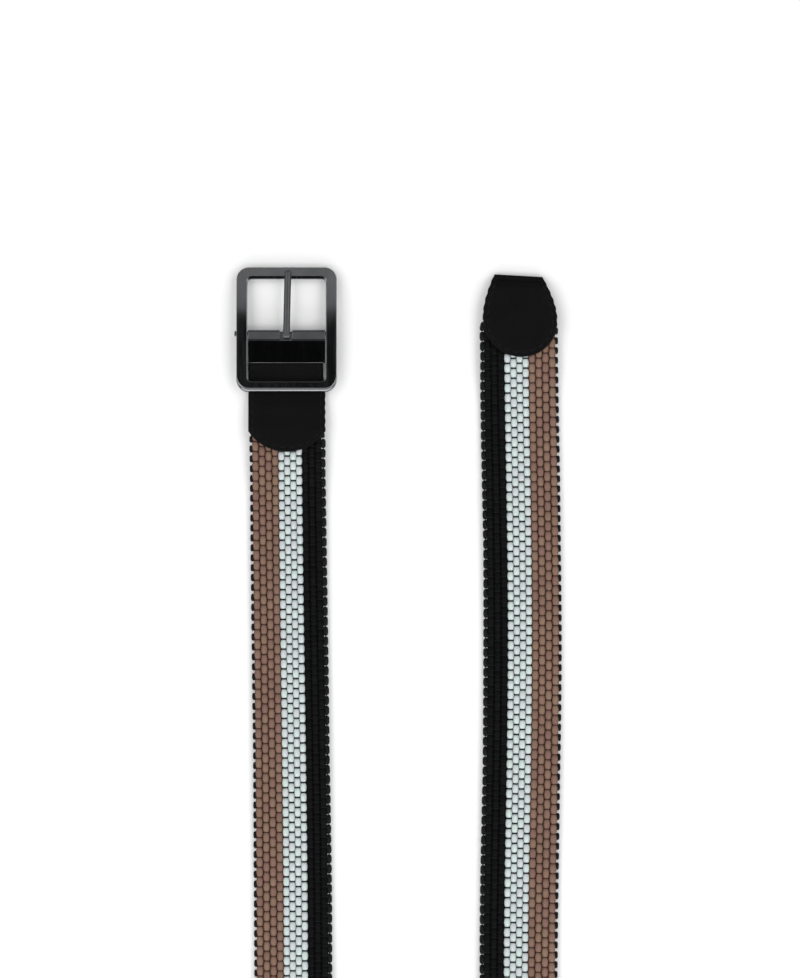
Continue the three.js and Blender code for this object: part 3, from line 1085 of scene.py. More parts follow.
    def weft_tree(self, material: bpy.types.Material) -> GeometryTree:
        """Build the tree for the thread, which goes over one cord, under the next and loops at the edges.

        Args:
            material: Material of the thread.

        Returns:
            The tree.
        """
        dark, _, brown = self.stripes
        cords = sum(stripe.cords for stripe in self.stripes)
        crossing = self.crossing_points * cords
        per_pick = crossing + self.loop_points
        inputs = {
            "Points": self.picks * per_pick,
            "Picks": float(self.picks),
            "Points in a pick": float(per_pick),
            "Thread radius": self.thread_radius * MM,
            "Thread height": self.thread_height / self.route.half_thickness,
            "Brown sink": self.brown_sink,
            "Dark swell": self.dark_loop[0] / self.thread_radius,
            "Dark bulge": self.dark_loop[1] * MM,
            "Dark stretch": self.dark_loop[2],
            "Brown swell": self.brown_loop[0] / self.thread_radius,
            "Brown bulge": self.brown_loop[1] * MM,
            "Brown stretch": self.brown_loop[2],
            "Material": material,
        }
        tree = GeometryTree("weft", inputs)
        line = tree.output("GeometryNodeMeshLine", {"Count": tree.given("Points")}, mode="OFFSET")
        thread = tree.output("GeometryNodeMeshToCurve", {"Mesh": line})
        index = tree.output("GeometryNodeInputIndex")
        size = tree.given("Points in a pick")
        pick = tree.math("FLOOR", tree.math("DIVIDE", tree.total(index, 0.5), size))
        step = tree.total(tree.less(index, tree.times(pick, size)), 0.5)
        crossed = tree.math("MINIMUM", tree.times(step, 1 / self.crossing_points), float(cords))
        past = tree.math("MAXIMUM", tree.less(step, float(crossing)), 0.0)
        turn = tree.times(past, math.pi / self.loop_points)
        heading = tree.less(tree.times(tree.math("MODULO", pick, 2.0), 2.0), 1.0)
        on_brown = tree.math("GREATER_THAN", heading, 0.0)

        def by_edge(word: str) -> Socket:
            """An input that differs between the two edges."""
            more = tree.less(tree.given(f"Brown {word}"), tree.given(f"Dark {word}"))
            return tree.total(tree.given(f"Dark {word}"), tree.times(more, on_brown))

        puff = tree.math("POWER", tree.math("SINE", turn), self.loop_squareness[0])
        slant = tree.power_of(tree.math("COSINE", turn), self.loop_squareness[1])
        run = tree.less(0.5, tree.times(slant, 0.5, by_edge("stretch")))
        row = tree.total(pick, tree.times(run, tree.math("GREATER_THAN", past, 0.0)))
        at = self.frame_at(tree, tree.math("DIVIDE", row, tree.given("Picks")))
        middle_cord = dark.first - 0.5 + cords / 2
        cord = tree.total(tree.times(heading, tree.less(crossed, cords / 2)), middle_cord)
        bulge = tree.times(heading, by_edge("bulge"), puff)
        out = tree.total(tree.times(self.across_share(tree, cord), at["half_width"]), bulge)
        wave = tree.math("COSINE", tree.times(tree.total(cord, pick, 1.0), math.pi))
        weave = tree.power_of(wave, self.weave_squareness)
        sunk = tree.times(tree.math("GREATER_THAN", cord, brown.first - 0.5), tree.given("Brown sink"))
        level = tree.times(at["half_thickness"], tree.given("Thread height"), tree.less(1.0, sunk))
        up = tree.times(level, weave, tree.math("LESS_THAN", past, 0.001))
        offset = tree.vector("ADD", tree.scaled(at["across"], out), tree.scaled(at["face"], up))
        spot = tree.vector("ADD", at["position"], offset)
        laid = tree.output("GeometryNodeSetPosition", {0: thread, "Position": spot})
        section = {"Resolution": self.thread_sides, "Radius": tree.given("Thread radius")}
        ring = tree.output("GeometryNodeCurvePrimitiveCircle", section)
        swell = tree.total(tree.times(tree.less(by_edge("swell"), 1.0), puff), 1.0)
        sized = tree.output("GeometryNodeSetCurveRadius", {0: laid, "Radius": swell})
        sweep = {"Curve": sized, "Profile Curve": ring, "Fill Caps": True}
        swept = tree.node("GeometryNodeCurveToMesh", sweep)
        if "Scale" in swept.inputs:
            tree.feed(swept.inputs["Scale"], tree.output("GeometryNodeInputRadius"))
        tree.finish(swept.outputs[0])
        return tree

    def build(self) -> None:
        """Weave the band: three stripes of cords and the thread, in place of the solid band."""
        for stripe in self.stripes:
            piece = self.warp_tree(stripe).run(self.guide(), stripe.finish.name + "s")
            finish_piece(piece, Body.BELT, Slot.WEAVE, ["woven_band"] if stripe.first == 1 else [])
        thread = ThreadFinish("weft_thread", (0.0042, 0.0052, 0.0056, 1)).build()
        finish_piece(self.weft_tree(thread).run(self.guide(), "weft_thread"), Body.BELT, Slot.WEAVE)


# Leather


@dataclass
class LeatherEnd:
    """Two layers of leather on an end of the band, stitched together round their edge."""

    name: str
    rows: Sequence[float]
    front: Sequence[Row]
    back: Sequence[Row]
    stitch_start: float
    arc_radius: float
    arc_y: float
    route: Route = field(default_factory=Route)
    thickness: float = 1.15
    rounding: float = 0.42
    rolled_edge: float = 2.4
    seam_inset: float = 1.9
    seam_depth: float = 0.24
    seam_width: float = 0.45
    edge_reach: float = 3.2
    edge_shares: Row = (0, 0.02, 0.06, 0.13, 0.22, 0.32, 0.4, 0.5, 0.68, 1)
    stitch_pitch: float = 3.8
    stitch_half_size: Row = (0.34, 0.2, 1.45)
    stitch_rise: Place = (0.12, -0.02)
    pull: float = 0.3

    def outline(self, y: float) -> tuple[float, float, float, float]:
        """Middle, reach to either side and slope of the row at y."""
        raise NotImplementedError

    def side_margin(self, x: float, y: float) -> float:
        """Distance from a place to the sides and the cut, with x from the middle."""
        raise NotImplementedError

    def arc_reach(self, y: float) -> float:
        """Half width of the round end at y."""
        return math.sqrt(max(self.arc_radius**2 - (y - self.arc_y) ** 2, 0))

    def margin(self, x: float, y: float) -> float:
        """Distance from a place to the nearest edge, with x from the middle."""
        side = self.side_margin(x, y)
        return min(side, self.arc_radius - math.hypot(x, y - self.arc_y)) if y < self.arc_y else side

    def base(self, profile: Sequence[Row], y: float, margin: float) -> float:
        """Height of a layer's underside at y, at a distance from the edge."""
        rolled = 1 - smoothstep(margin, 0, self.rolled_edge)
        return along(profile, 1, y) - along(profile, 2, y) * rolled

    def pulled(self, y: float) -> float:
        """How far the stitches draw the side in at y."""
        return self.pull * (1 - math.cos(FULL_TURN * y / self.stitch_pitch)) / 2

    def layer(self, profile: Sequence[Row], front: bool) -> Object:
        """Build one layer.

        Args:
            profile: Rows of y, height of the underside and how far the edges come down.
            front: Whether this is the layer on top.

        Returns:
            A closed leather body with rounded edges and a stitched channel on its outer side.
        """
        rings = []
        for y in self.rows:
            centre, left, right, slope = self.outline(y)
            reach = min(self.edge_reach, left / 2)
            insets = [reach * share for share in self.edge_shares]
            columns = [right - inset for inset in insets]
            columns += spaced(right - reach, reach - left, 10)[1:-1]
            columns += [inset - left for inset in reversed(insets)]
            upper, lower = [], []
            for x in columns:
                margin = max(self.margin(x, y), 0.0)
                base = self.base(profile, y, margin)
                round_off = self.rounding * (1 - math.sqrt(1 - max(1 - margin / self.rounding, 0) ** 2))
                seam = self.seam_depth * math.exp(-(((margin - self.seam_inset) / self.seam_width) ** 2))
                seam *= smoothstep(self.stitch_start + 1 - y, 0, 2)
                low = base + round_off + (0 if front else seam)
                high = base + self.thickness - round_off - (seam if front else 0)
                lower.append(placed(centre + x, y - slope * x, max(low, 0)))
                upper.append(placed(centre + x, y - slope * x, high))
            rings.append(upper + lower[::-1])
        return tube(f"{self.name}_{'front' if front else 'back'}_layer", rings)

    def seam_line(self, front: bool) -> Points:
        """Line of the stitches, in metres: down one side, round the arc and up the other side.

        Args:
            front: Whether the stitches lie on the front.

        Returns:
            Points of the line.
        """
        profile = self.front if front else self.back
        spots = []
        ys = [y for y in self.rows if y <= self.stitch_start]
        for side, order in ((1, ys), (-1, list(reversed(ys)))):
            for y in order:
                centre, left, right, slope = self.outline(y)
                x = self.inset_place(y, side, right if side > 0 else left)
                if x is None:
                    continue
                above, below = self.stitch_rise
                groove = self.thickness - self.seam_depth + above if front else self.seam_depth + below
                height = self.base(profile, y, self.seam_inset) + groove
                spots.append(placed(centre + x, y - slope * x, height))
        return spots

    def inset_place(self, y: float, side: int, reach: float) -> float | None:
        """Place of the seam across the row, on one side, or None where the seam doesn't cross the row.

        Args:
            y: Place along the belt, in millimetres.
            side: 1 or -1.
            reach: Distance from the middle to the edge.

        Returns:
            The place, from the middle of the row.
        """
        low, high = 0.0, reach
        if self.margin(0.0, y) < self.seam_inset:
            return None
        for _ in range(24):
            middle = (low + high) / 2
            if self.margin(side * middle, y) > self.seam_inset:
                low = middle
            else:
                high = middle
        return side * low

    def stitches(self, front: bool, material: bpy.types.Material) -> Object:
        """Sew one side.

        Args:
            front: Whether the stitches lie on the front.
            material: Material of the thread.

        Returns:
            One mesh with a stitch at every pitch of the seam.
        """
        names = ("Half width", "Half height", "Half length")
        inputs = {name: size * MM for name, size in zip(names, self.stitch_half_size)}
        tree = GeometryTree("seam", {"Pitch": self.stitch_pitch * MM, "Material": material} | inputs)
        curve = tree.output("GeometryNodeMeshToCurve", {"Mesh": tree.given("Geometry")})
        line = {"Curve": curve, "Length": tree.given("Pitch")}
        spots = tree.node("GeometryNodeCurveToPoints", line, mode="LENGTH").outputs
        ball = tree.output("GeometryNodeMeshUVSphere", {"Segments": 8, "Rings": 6, "Radius": 1.0})
        scale = tree.output("ShaderNodeCombineXYZ", dict(enumerate(tree.given(name) for name in names)))
        stitch = tree.output("GeometryNodeTransform", {"Geometry": ball, "Scale": scale})
        sockets = {"Points": spots["Points"], "Instance": stitch, "Rotation": spots["Rotation"]}
        tree.finish(tree.output("GeometryNodeInstanceOnPoints", sockets))
        guide = line_of("seam", self.seam_line(front))
        return tree.run(guide, f"{self.name}_{'front' if front else 'back'}_stitches")

    def build(self, leather: bpy.types.Material, thread: bpy.types.Material) -> None:
        """Build both layers and their stitches.

        Args:
            leather: Material of the layers.
            thread: Material of the stitches.
        """
        for front, profile, word in ((True, self.front, "front"), (False, self.back, "back")):
            obj = self.layer(profile, front)
            obj.data.materials.append(leather)
            finish_piece(obj, Body.BELT, Slot.LEATHER, [f"{self.name}_leather_{word}"])
            finish_piece(self.stitches(front, thread), Body.BELT, Slot.LEATHER)


def arc_rows(centre_y: float, radius: float, start_y: float) -> list[float]:
    """Rows down to the end of an arc, closer together where its edge turns."""
    start, end = math.asin((centre_y - start_y) / radius), math.radians(89)
    return [centre_y - radius * math.sin(angle) for angle in spaced(start, end, 34)]


@dataclass
class Tab(LeatherEnd):
    """Leather between the clamp and the band, with a round end."""

    half_width: float = 16.85
    arc_radius: float = 20.3
    arc_y: float = -31.3
    trim: float = 0.9
    trim_y: float = -16.0
    trim_ease: Place = (3, 5)
    pull_ease: Place = (26, 30)

    def outline(self, y: float) -> tuple[float, float, float, float]:
        """Straight sides and a round end, trimmed a little on one side by the clamp.

        Args:
            y: Place along the belt, in millimetres.

        Returns:
            Middle, reach to either side and slope of the row.
        """
        half = min(self.half_width, self.arc_reach(y)) if y < self.arc_y else self.half_width
        trim = self.trim * (1 - smoothstep(abs(y - self.trim_y), *self.trim_ease))
        trim += self.pulled(y) * smoothstep(-y, *self.pull_ease)
        return self.route.buckle_leg(y)[0].x, half, half - trim, 0.0

    def side_margin(self, x: float, y: float) -> float:
        """Distance to the nearer side."""
        _, left, right, _ = self.outline(y)
        return min(right - x, left + x)


@dataclass
class Tip(LeatherEnd):
    """Leather over the free end, round where it meets the band and tapered to a straight cut."""

    arc_radius: float = 16.3
    arc_y: float = 6.1
    cut_half_width: float = 10.7
    cut_slope: float = 0.055
    lean: float = 0.032
    shift: float = 0.2
    pull_ease: float = 6.0

    def outline(self, y: float) -> tuple[float, float, float, float]:
        """Flared sides, pulled in a little by each stitch, and a round end.

        Args:
            y: Place along the belt, in millimetres.

        Returns:
            Middle, reach to either side and slope of the row.
        """
        cut_y = self.route.tip_end
        share = min(max((cut_y - y) / (cut_y - self.arc_y), 0), 1)
        flare = self.cut_half_width + (self.arc_radius - self.cut_half_width) * math.sin(math.pi / 2 * share)
        half = self.arc_reach(y) if y < self.arc_y else flare
        half -= self.pulled(y) * smoothstep(y, self.arc_y - self.pull_ease, self.arc_y)
        slope = self.cut_slope * smoothstep(y, self.arc_y, cut_y)
        return self.route.tip_x + self.shift + self.lean * (cut_y - y), half, half, slope

    def side_margin(self, x: float, y: float) -> float:
        """Distance to the nearer side or the cut."""
        return min(self.outline(y)[1] - abs(x), self.route.tip_end - y)


def leather_ends() -> list[LeatherEnd]:
    """Both leather ends with their heights along the belt.

    Returns:
        The tab and the tip.
    """
    clamp_end, arc_y, arc_radius = -12.25, Tab.arc_y, Tab.arc_radius
    side_end = arc_y - math.sqrt(arc_radius**2 - Tab.half_width**2)
    straight = [-4.0, clamp_end, *spaced(-12.6, arc_y, 52), *spaced(arc_y, side_end, 24)[1:-1]]
    tab = Tab(
        name="tab",
        rows=[*straight, *arc_rows(arc_y, arc_radius, side_end)],
        front=(
            (-4, 2.55, 0),
            (clamp_end, 2.55, 0),
            (-20, 1.5, 0),
            (-26, 1.5, 0),
            (-34, 3.25, 0.3),
            (-43, 4.8, 0.3),
            (-52, 4.9, 0.2),
        ),
        back=((-4, 1.1, 0), (clamp_end, 1.1, 0), (-20, 0, 0)),
        stitch_start=-14.5,
    )
    cut_y = Route.tip_end
    sides = [*(cut_y - inset for inset in (0, 0.04, 0.12, 0.25, 0.42)), *spaced(cut_y - 0.7, Tip.arc_y, 40)]
    tip = Tip(
        name="tip",
        rows=[*sides, *arc_rows(Tip.arc_y, Tip.arc_radius, Tip.arc_y)[1:]],
        front=((cut_y + 1, 1.5, 0), (24, 1.5, 0), (19.8, 3.85, 0.3), (8, 4.85, 0.3), (-10.5, 4.9, 0.2)),
        back=((cut_y, 0, 0),),
        stitch_start=cut_y - 1.25,
    )
    return [tab, tip]


# Buckle


def rounded_outline(half_width: float, top: float, bottom: float, corner: float) -> list[Place]:
    """Rounded rectangle about x = 0.

    Args:
        half_width: Reach to either side.
        top: Highest y.
        bottom: Lowest y.
        corner: Radius of the corners.

    Returns:
        Points anticlockwise, with the same count for any size.
    """
    corner_steps, side_steps = 12, 22
    corners = (
        (half_width - corner, top - corner, 0.0),
        (corner - half_width, top - corner, 0.25),
        (corner - half_width, bottom + corner, 0.5),
        (half_width - corner, bottom + corner, 0.75),
    )
    points: list[Place] = []
    for i, (x, y, turn) in enumerate(corners):
        arc = [
            (x + corner * math.cos(angle), y + corner * math.sin(angle))
            for angle in spaced(FULL_TURN * turn, FULL_TURN * (turn + 0.25), corner_steps)
        ]
        points += arc
        after_x, after_y, after_turn = corners[(i + 1) % 4]
        start = arc[-1]
        end_angle = FULL_TURN * (after_turn if after_turn > turn else after_turn + 1)
        end = (after_x + corner * math.cos(end_angle), after_y + corner * math.sin(end_angle))
        steps = spaced(0, 1, side_steps)[1:-1]
        points += [(start[0] + (end[0] - start[0]) * s, start[1] + (end[1] - start[1]) * s) for s in steps]
    return points


def circle(radius: float, sides: int) -> list[Place]:
    """Points of a circle round the origin."""
    return [(radius * math.cos(a), radius * math.sin(a)) for a in spaced(0, FULL_TURN, sides)[:-1]]


def fillet(radius: float, steps: int) -> list[Place]:
    """Quarter circle as pairs of inset and drop, from the side wall to the flat top."""
    return [
        (radius * (1 - math.cos(angle)), radius * (1 - math.sin(angle)))
        for angle in spaced(0, math.pi / 2, steps)
    ]


@dataclass
class Buckle:
    """Framed buckle on its hinge pin, with a prong, and the clamp that holds the leather."""

    pin_height: float = 3.7
    pin_radius: float = 0.9
    bore: float = 1.15
    head_radius: float = 1.3
    head_length: float = 0.6
    head_gap: float = 0.3
    dome_length: float = 0.5
    pin_inset: float = 0.2
    pin_chamfer: float = 0.25
    half_width: float = 21.95
    top_y: float = 29.1
    bottom_y: float = -25.6
    corner: float = 5.5
    window_half_width: float = 17.13
    window_top_y: float = 23.8
    window_bottom_y: float = -21.0
    window_corner: float = 2.0
    frame_thickness: float = 3.2
    outer_rounding: float = 1.9
    near_widening: float = 1.25
    side_narrowing: float = 0.15
    inner_rounding: float = 0.2
    facet: tuple = ((1.4, 0.0), (1.2, 0.0), (1.05, 0.03), (0.15, 0.25), (0, 0.28))
    flat_start: float = 0.2
    under_rounding: float = 0.8
    frame_height: float = 4.6
    bend_y: float = 2.0
    bend_radius: float = 119.0
    lug_radius: float = 2.2
    lug_insets: Place = (0.3, 0.5)
    rim: tuple = ((0, 0.22), (0.07, 0.07), (0.22, 0), (0.4, 0))
    clamp_half_width: float = 16.8
    tube_radius: float = 2.1
    roll_reach: float = 1.65
    roll_underside: float = 0.9
    roll_overlap: float = 0.05
    clamp_end_y: float = -12.8
    sheet: float = 0.8
    plate_bend: float = 0.3
    inner_bend: float = 0.2
    edge_cut: float = 0.1
    clamp_top: float = 1.1
    web_y: float = -2.8
    brow: tuple[Place, Place] = ((0.2, 2.0), (-2.42, 2.41))
    notch: Place = (-3.0, 2.5)
    prong_radius: float = 1.5
    eye_radius: float = 2.3
    groove_gap: float = 0.12
    point: float = 0.02
    prong_arch: tuple = (
        (0, -0.2, 0.95),
        (0.08, 3.2, 1.45),
        (0.24, 10, 2.1),
        (0.44, 18.5, 1.95),
        (0.58, 24, 1.15),
        (0.65, 26.5, 0.6),
    )

    def on_pin(self, x: float, y: float, z: float) -> Vector:
        """Point in metres from its place relative to the pin's axis."""
        return placed(x, y, z + self.pin_height)

    def turned(self, name: str, profile: Sequence[Place]) -> Object:
        """Turn a profile of x and radius about the pin's axis into a closed body."""
        return tube(name, [[self.on_pin(x, y, z) for y, z in circle(radius, 32)] for x, radius in profile])

    def ring_body(self, name: str, outside: Sequence[Place], start: float, end: float) -> Object:
        """Make a bored body along the pin.

        Args:
            name: Name of the object.
            outside: Outline of the section about the axis, as y and z.
            start: Lower x.
            end: Higher x.

        Returns:
            A closed body with rounded rims.
        """
        ends = [(start + inset, cut) for inset, cut in self.rim]
        ends += [(end - inset, cut) for inset, cut in reversed(self.rim)]
        rings = []
        for x, cut in ends:
            keeps = [1 - cut / math.hypot(y, z) for y, z in outside]
            rings.append([self.on_pin(x, y * keep, z * keep) for (y, z), keep in zip(outside, keeps)])
        for x in (end, start):
            scales = [self.bore / math.hypot(y, z) for y, z in outside]
            rings.append([self.on_pin(x, y * scale, z * scale) for (y, z), scale in zip(outside, scales)])
        return tube(name, rings, closed=True)

    def arch_point(self, share: float) -> Vector:
        """Point of the prong's arch, relative to the pin, at a share of its length.

        Args:
            share: Share of the length, from the pin.

        Returns:
            The point, in millimetres.
        """
        spots = [Vector(p) for p in self.prong_arch]
        last = len(spots) - 1
        place = min(max(share, 0.0), 1.0) * last
        i = min(int(place), last - 1)
        t = place - i
        before = spots[i - 1] if i > 0 else 2 * spots[0] - spots[1]
        after = spots[i + 2] if i + 2 <= last else 2 * spots[last] - spots[last - 1]
        a, b = spots[i], spots[i + 1]
        curved = (2 * before - 5 * a + 4 * b - after) * t**2 + (3 * a - before - 3 * b + after) * t**3
        return 0.5 * (2 * a + (b - before) * t + curved)

    def wire(self, name: str, radius: float) -> Object:
        """Sweep a round wire along the arch, with a round tip.

        Args:
            name: Name of the object.
            radius: Radius of the wire.

        Returns:
            The closed wire.
        """
        rings = []
        sides, steps = 20, 44

        def ring(middle: Vector, travel: Vector, size: float) -> Points:
            """One ring of the wire."""
            across = Vector((0, 0, 1)).cross(travel).normalized()
            up = travel.cross(across)
            return [self.on_pin(*(middle + across * x + up * z)) for x, z in circle(size, sides)]

        step = 0.01
        for share in spaced(0, 1, steps):
            travel = (self.arch_point(share + step) - self.arch_point(share - step)).normalized()
            rings.append(ring(self.arch_point(share), travel, radius))
        end = self.arch_point(1)
        travel = (end - self.arch_point(1 - 2 * step)).normalized()
        for angle in spaced(0, math.pi / 2, 8)[1:]:
            size = max(radius * math.cos(angle), self.point)
            rings.append(ring(end + travel * radius * math.sin(angle), travel, size))
        return tube(name, rings)

    def frame_body(self) -> Object:
        """Build the frame: rounded outer edge, crisp window edge, far part bent down, lugs round the pin.

        Returns:
            The closed body.
        """
        half = self.frame_thickness / 2
        loops: list[tuple[list[Place], float]] = []

        def outer(inset: float) -> list[Place]:
            """Outer outline moved inwards, less at the sides and the end bar than at the near bar."""
            less, more = inset * self.side_narrowing, inset * self.near_widening
            low, corner = self.bottom_y + more, self.corner - less
            return rounded_outline(self.half_width - less, self.top_y - less, low, corner)

        def inner(inset: float, aside: float) -> list[Place]:
            """Window outline moved outwards at the end bar, and by another amount at its other sides."""
            low, corner = self.window_bottom_y - aside, self.window_corner + aside
            return rounded_outline(self.window_half_width + aside, self.window_top_y + inset, low, corner)

        loops += [(outer(inset), drop - half) for inset, drop in reversed(fillet(self.under_rounding, 4))]
        loops += [(outer(inset), half - drop) for inset, drop in fillet(self.outer_rounding, 10)]
        loops += [(outer(self.outer_rounding + self.flat_start), half)]
        edge, facet_fall = self.inner_rounding, self.facet[-1][1]
        for inset, fall in self.facet:
            loops.append((inner(edge + inset, edge + inset * self.side_narrowing), half - fall))
        loops += [(inner(inset, inset), half - facet_fall - drop) for inset, drop in fillet(edge, 3)[-2::-1]]
        loops += [(inner(inset, inset), drop - half) for inset, drop in fillet(self.under_rounding / 2, 3)]
        raised = self.frame_height - self.pin_height
        rings = []
        for outline, z in loops:
            sags = [max(y - self.bend_y, 0) ** 2 / (2 * self.bend_radius) for _, y in outline]
            rings.append([self.on_pin(x, y, raised + z - sag) for (x, y), sag in zip(outline, sags)])
        body = tube("buckle", rings, closed=True)
        lugs = []
        for side in (-1, 1):
            near, far = self.window_half_width + self.lug_insets[0], self.half_width - self.lug_insets[1]
            ends = sorted((side * near, side * far))
            lugs.append(self.ring_body("lug", circle(self.lug_radius, 40), *ends))
        self.cut(body, self.wire("groove", self.prong_radius + self.groove_gap))
        return joined("frame_loop", [body, *lugs])

    def cut(self, body: Object, cutter: Object) -> None:
        """Cut one closed body out of another and remove the cutter.

        Args:
            body: Body that is cut.
            cutter: Body that is taken away.
        """
        modifier = body.modifiers.new("cut", "BOOLEAN")
        modifier.object = cutter
        modifier.operation = "DIFFERENCE"
        modifier.solver = "EXACT"
        mesh = baked(body)
        body.modifiers.remove(modifier)
        body.data = mesh
        bpy.data.objects.remove(cutter)

    def clamp_plate(self) -> Object:
        """Build the clamp's folded sheet over the leather.

        Returns:
            The closed body.
        """
        top, low, front = self.clamp_top, -self.pin_height, self.web_y
        back = front - self.sheet
        bend, inner, cut, end = self.plate_bend, self.inner_bend, self.edge_cut, self.clamp_end_y

        def arc(y: float, z: float, radius: float, start: float, stop: float) -> list[Place]:
            """Part of a circle in turns from +Y towards +Z."""
            angles = spaced(FULL_TURN * start, FULL_TURN * stop, 5)
            return [(y + radius * math.cos(a), z + radius * math.sin(a)) for a in angles]

        section = [
            *arc(front - bend, top - bend, bend, 0, 0.25),
            (front - bend - cut, top),
            (end + 1.5 * cut, top),
            (end + cut, top),
            (end, top - cut),
            (end, top - self.sheet),
            *arc(back - inner, top - self.sheet - inner, inner, 0.25, 0),
            *arc(back - inner, low + self.sheet + inner, inner, 0, -0.25),
            (end, low + self.sheet),
            (end, low),
            (front - bend - cut, low),
            *arc(front - bend, low + bend, bend, -0.25, 0),
        ]
        half = self.clamp_half_width
        sheet = tube("clamp_plate", [[self.on_pin(x, y, z) for y, z in section] for x in (-half, half)])
        self.soften(sheet, 0.08)
        return sheet

    def clamp_roll(self) -> Object:
        """Build the clamp's roll round the pin, with a flat brow on top that steps down to the plate.

        Returns:
            Both parts of the roll, on either side of the prong.
        """
        (fore_y, fore_z), (edge_y, edge_z) = self.brow
        run = math.hypot(edge_y - fore_y, edge_z - fore_z)
        lean, level = (edge_z - fore_z) / run, (fore_y - edge_y) / run
        brow_angle = math.atan2(level, lean) - math.acos((fore_y * lean + fore_z * level) / self.tube_radius)
        return_angle = math.pi + math.asin(self.roll_underside / self.tube_radius)

        def roll(start: float, stop: float, steps: int) -> list[Place]:
            """Part of the outside, a little flatter in front, between two angles from +Y towards +Z."""
            turns = [(math.cos(a), math.sin(a)) for a in spaced(start, stop, steps)]
            reach = self.roll_reach, self.tube_radius
            return [(c * reach[c <= 0], s * self.tube_radius) for c, s in turns]

        start_y = self.roll_reach * math.cos(brow_angle)
        slope = (edge_z - fore_z) / (edge_y - fore_y)
        flat = [(y, fore_z + (y - fore_y) * slope) for y in spaced(start_y, edge_y, 10)]
        wall_y = self.web_y - self.roll_overlap
        outside = [
            *roll(0, brow_angle, 14),
            *flat[1:],
            *((wall_y, z) for z in spaced(self.clamp_top, -self.roll_underside, 4)),
            *roll(return_angle, FULL_TURN, 36)[:-1],
        ]
        half = self.clamp_half_width
        sides = ((-half, self.notch[0]), (self.notch[1], half))
        return joined("clamp_roll", [self.ring_body("roll", outside, *ends) for ends in sides])

    def soften(self, obj: Object, width: float) -> None:
        """Round the sharp edges of a body a little.

        Args:
            obj: The body.
            width: Width of the bevel, in millimetres.
        """
        shape = bmesh.new()
        shape.from_mesh(obj.data)
        sharp = [e for e in shape.edges if len(e.link_faces) == 2 and e.calc_face_angle() > math.radians(40)]
        bmesh.ops.bevel(shape, geom=sharp, offset=width * MM, segments=1, affect="EDGES", clamp_overlap=True)
        shape.to_mesh(obj.data)
        shape.free()
        smooth(obj)

    def pin_body(self) -> Object:
        """Build the pin with its domed head.

        Returns:
            The closed body.
        """
        start = -self.half_width - self.head_gap
        dome = start - self.head_length
        angles = spaced(math.pi / 2, 0, 6)
        profile = [
            (dome + self.dome_length * (1 - math.sin(a)), max(self.head_radius * math.cos(a), self.point))
            for a in angles
        ]
        profile += [(start, self.head_radius), (start, self.pin_radius)]
        end = self.half_width - self.pin_inset
        profile += [(end - self.pin_chamfer, self.pin_radius), (end, self.pin_radius - self.pin_chamfer)]
        return self.turned("pin", profile)

    def prong_body(self) -> Object:
        """Build the prong: round wire with an eye round the pin.

        Returns:
            The closed body.
        """
        outside = circle(self.eye_radius, 40)
        eye = self.ring_body("eye", outside, -self.prong_radius, self.prong_radius)
        return joined("prong_wire", [self.wire("wire", self.prong_radius), eye])

    def build(self) -> None:
        """Build the metal parts in place of their solids."""
        bright, deep = (0.2, 0.203, 0.208, 1), (0.15, 0.153, 0.158, 1)
        satin = MetalFinish("gunmetal", bright, deep).build()
        polished = MetalFinish("polished_gunmetal", bright, deep, 0.08).build()
        # The matt and drawn gunmetal are the same plating as the frame with rougher surfaces and darker
        # colours: painted shade on the clamp's roll, the pin and the prong.
        shaded_matt = MetalFinish("shaded_matt_gunmetal", (0.13, 0.132, 0.136, 1), (0.1, 0.102, 0.106, 1), 0.32).build()
        shaded_drawn = MetalFinish("shaded_drawn_gunmetal", (0.1, 0.102, 0.105, 1), (0.075, 0.077, 0.08, 1), 0.42).build()
        made = (
            (self.clamp_plate(), Body.BELT, polished, ["clamp"]),
            (self.clamp_roll(), Body.BELT, shaded_matt, []),
            (self.frame_body(), Body.FRAME, satin, ["buckle_frame"]),
            (self.pin_body(), Body.FRAME, shaded_drawn, ["hinge_pin"]),
            (self.prong_body(), Body.PRONG, shaded_drawn, ["prong"]),
        )
        for obj, body, metal, nodes in made:
            obj.data.materials.clear()
            obj.data.materials.append(metal)
            finish_piece(obj, body, Slot.METAL, nodes)


# Studio


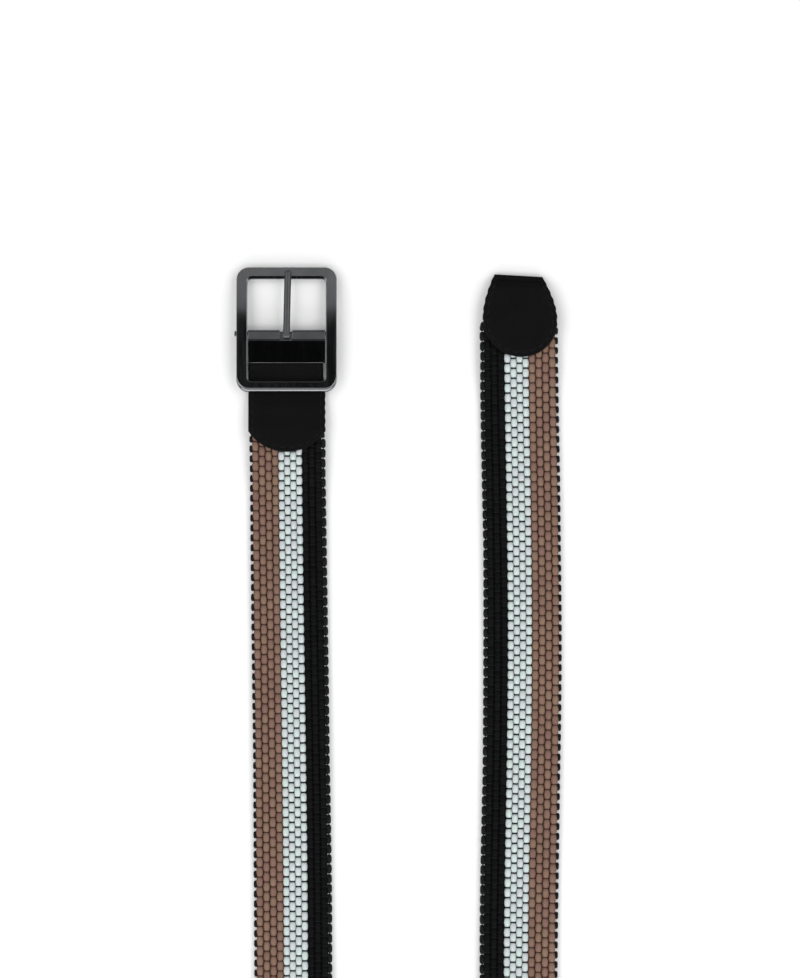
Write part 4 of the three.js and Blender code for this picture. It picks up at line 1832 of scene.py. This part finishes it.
@dataclass
class Studio:
    """Pale floor, soft lights and the camera above the belt."""

    camera_height: float = 1.6
    photo_scale: float = 0.4375
    hinge_pixel: tuple[float, float] = (286.85, 334.0)
    sensor: float = 36.0
    floor_reach: float = 6.0
    air_colour: Colour = (0.9, 0.95, 1.0, 1)
    air_strength: float = 0.012

    def build(self) -> None:
        """Make the floor, the lights, the air's light and the camera."""
        self.floor()
        self.world()
        target = self.view_centre()
        self.light("left_box", (-1.45, 0.0, 1.25), target, (2.6, 2.0), 1.7)
        self.light("right_box", (1.45, 0.0, 1.25), target, (2.6, 2.0), 1.7)
        self.light("far_box", (0.0, 1.17, 1.35), target, (3.0, 1.9), 0.57)
        self.light("near_box", (0.0, -1.1, 1.4), target, (3.0, 1.3), 0.9)
        self.light("low_box", (0.0, -1.9, 0.6), target, (3.2, 1.0), 3.2)
        self.camera(target)
        bpy.context.scene.view_settings.view_transform = "Standard"

    def view_centre(self) -> Vector:
        """Point of the table in the middle of the photograph.

        Returns:
            The point, in metres.
        """
        across = (PHOTO_WIDTH / 2 - self.hinge_pixel[0]) * self.photo_scale
        up = (self.hinge_pixel[1] - PHOTO_HEIGHT / 2) * self.photo_scale
        return placed(across, up, 0)

    def floor(self) -> None:
        """A plain pale table top."""
        sides = ((-1, -1), (1, -1), (1, 1), (-1, 1))
        corners = [Vector((x, y, 0)) * self.floor_reach for x, y in sides]
        obj = linked("floor", mesh_of("floor", corners, faces=[range(4)]))
        out = Material("floor", {"Roughness": 0.9, "Specular IOR Level": 0.1})
        mottle = out.effect(ShaderGroups.mottle(), Size=0.4, Contrast=0.5)
        out.cover(out.mixed(mottle, (0.93, 0.93, 0.93, 1), (0.95, 0.95, 0.95, 1)))
        obj.data.materials.append(out.material)

    def world(self) -> None:
        """Dim even light from all round."""
        world = bpy.data.worlds.new("studio")
        world.use_nodes = True
        background = world.node_tree.nodes["Background"]
        background.inputs["Color"].default_value = self.air_colour
        background.inputs["Strength"].default_value = self.air_strength
        bpy.context.scene.world = world

    def light(self, name: str, place: Sequence[float], target: Vector, size: Place, glow: float) -> None:
        """Hang a large soft box that faces the belt.

        Args:
            name: Name of the light.
            place: Its place in metres, from the middle of the view.
            target: What it faces.
            size: Width and height of the box.
            glow: How bright its face is, where 1 is white.
        """
        lamp = bpy.data.lights.new(name, "AREA")
        lamp.shape = "RECTANGLE"
        lamp.size, lamp.size_y = size
        lamp.energy = glow * math.pi * size[0] * size[1]
        obj = linked(name, lamp)
        obj.location = target + Vector(place)
        obj.rotation_euler = (target - obj.location).to_track_quat("-Z", "Y").to_euler()

    def camera(self, target: Vector) -> None:
        """Look straight down on the middle of the view.

        Args:
            target: Middle of the view on the table.
        """
        data = bpy.data.cameras.new("camera")
        data.sensor_width = self.sensor
        data.lens = self.sensor * self.camera_height / (PHOTO_HEIGHT * self.photo_scale * MM)
        camera = linked("camera", data)
        camera.location = target + Vector((0, 0, self.camera_height))
        bpy.context.scene.camera = camera


def main() -> None:
    """Build every sub-assembly in order and report it."""
    logging.basicConfig(level=logging.INFO, format="%(name)s: %(message)s")
    Studio().build()
    log.info("studio: floor, lights and camera")
    WovenBand().build()
    leather = LeatherFinish("leather", (0.0018, 0.0019, 0.0021, 1), (0.0032, 0.0033, 0.0036, 1)).build()
    seam_thread = ThreadFinish("seam_thread", (0.004, 0.004, 0.0045, 1)).build()
    for end in leather_ends():
        end.build(leather, seam_thread)
    Buckle().build()


if __name__ == "__main__":
    main()
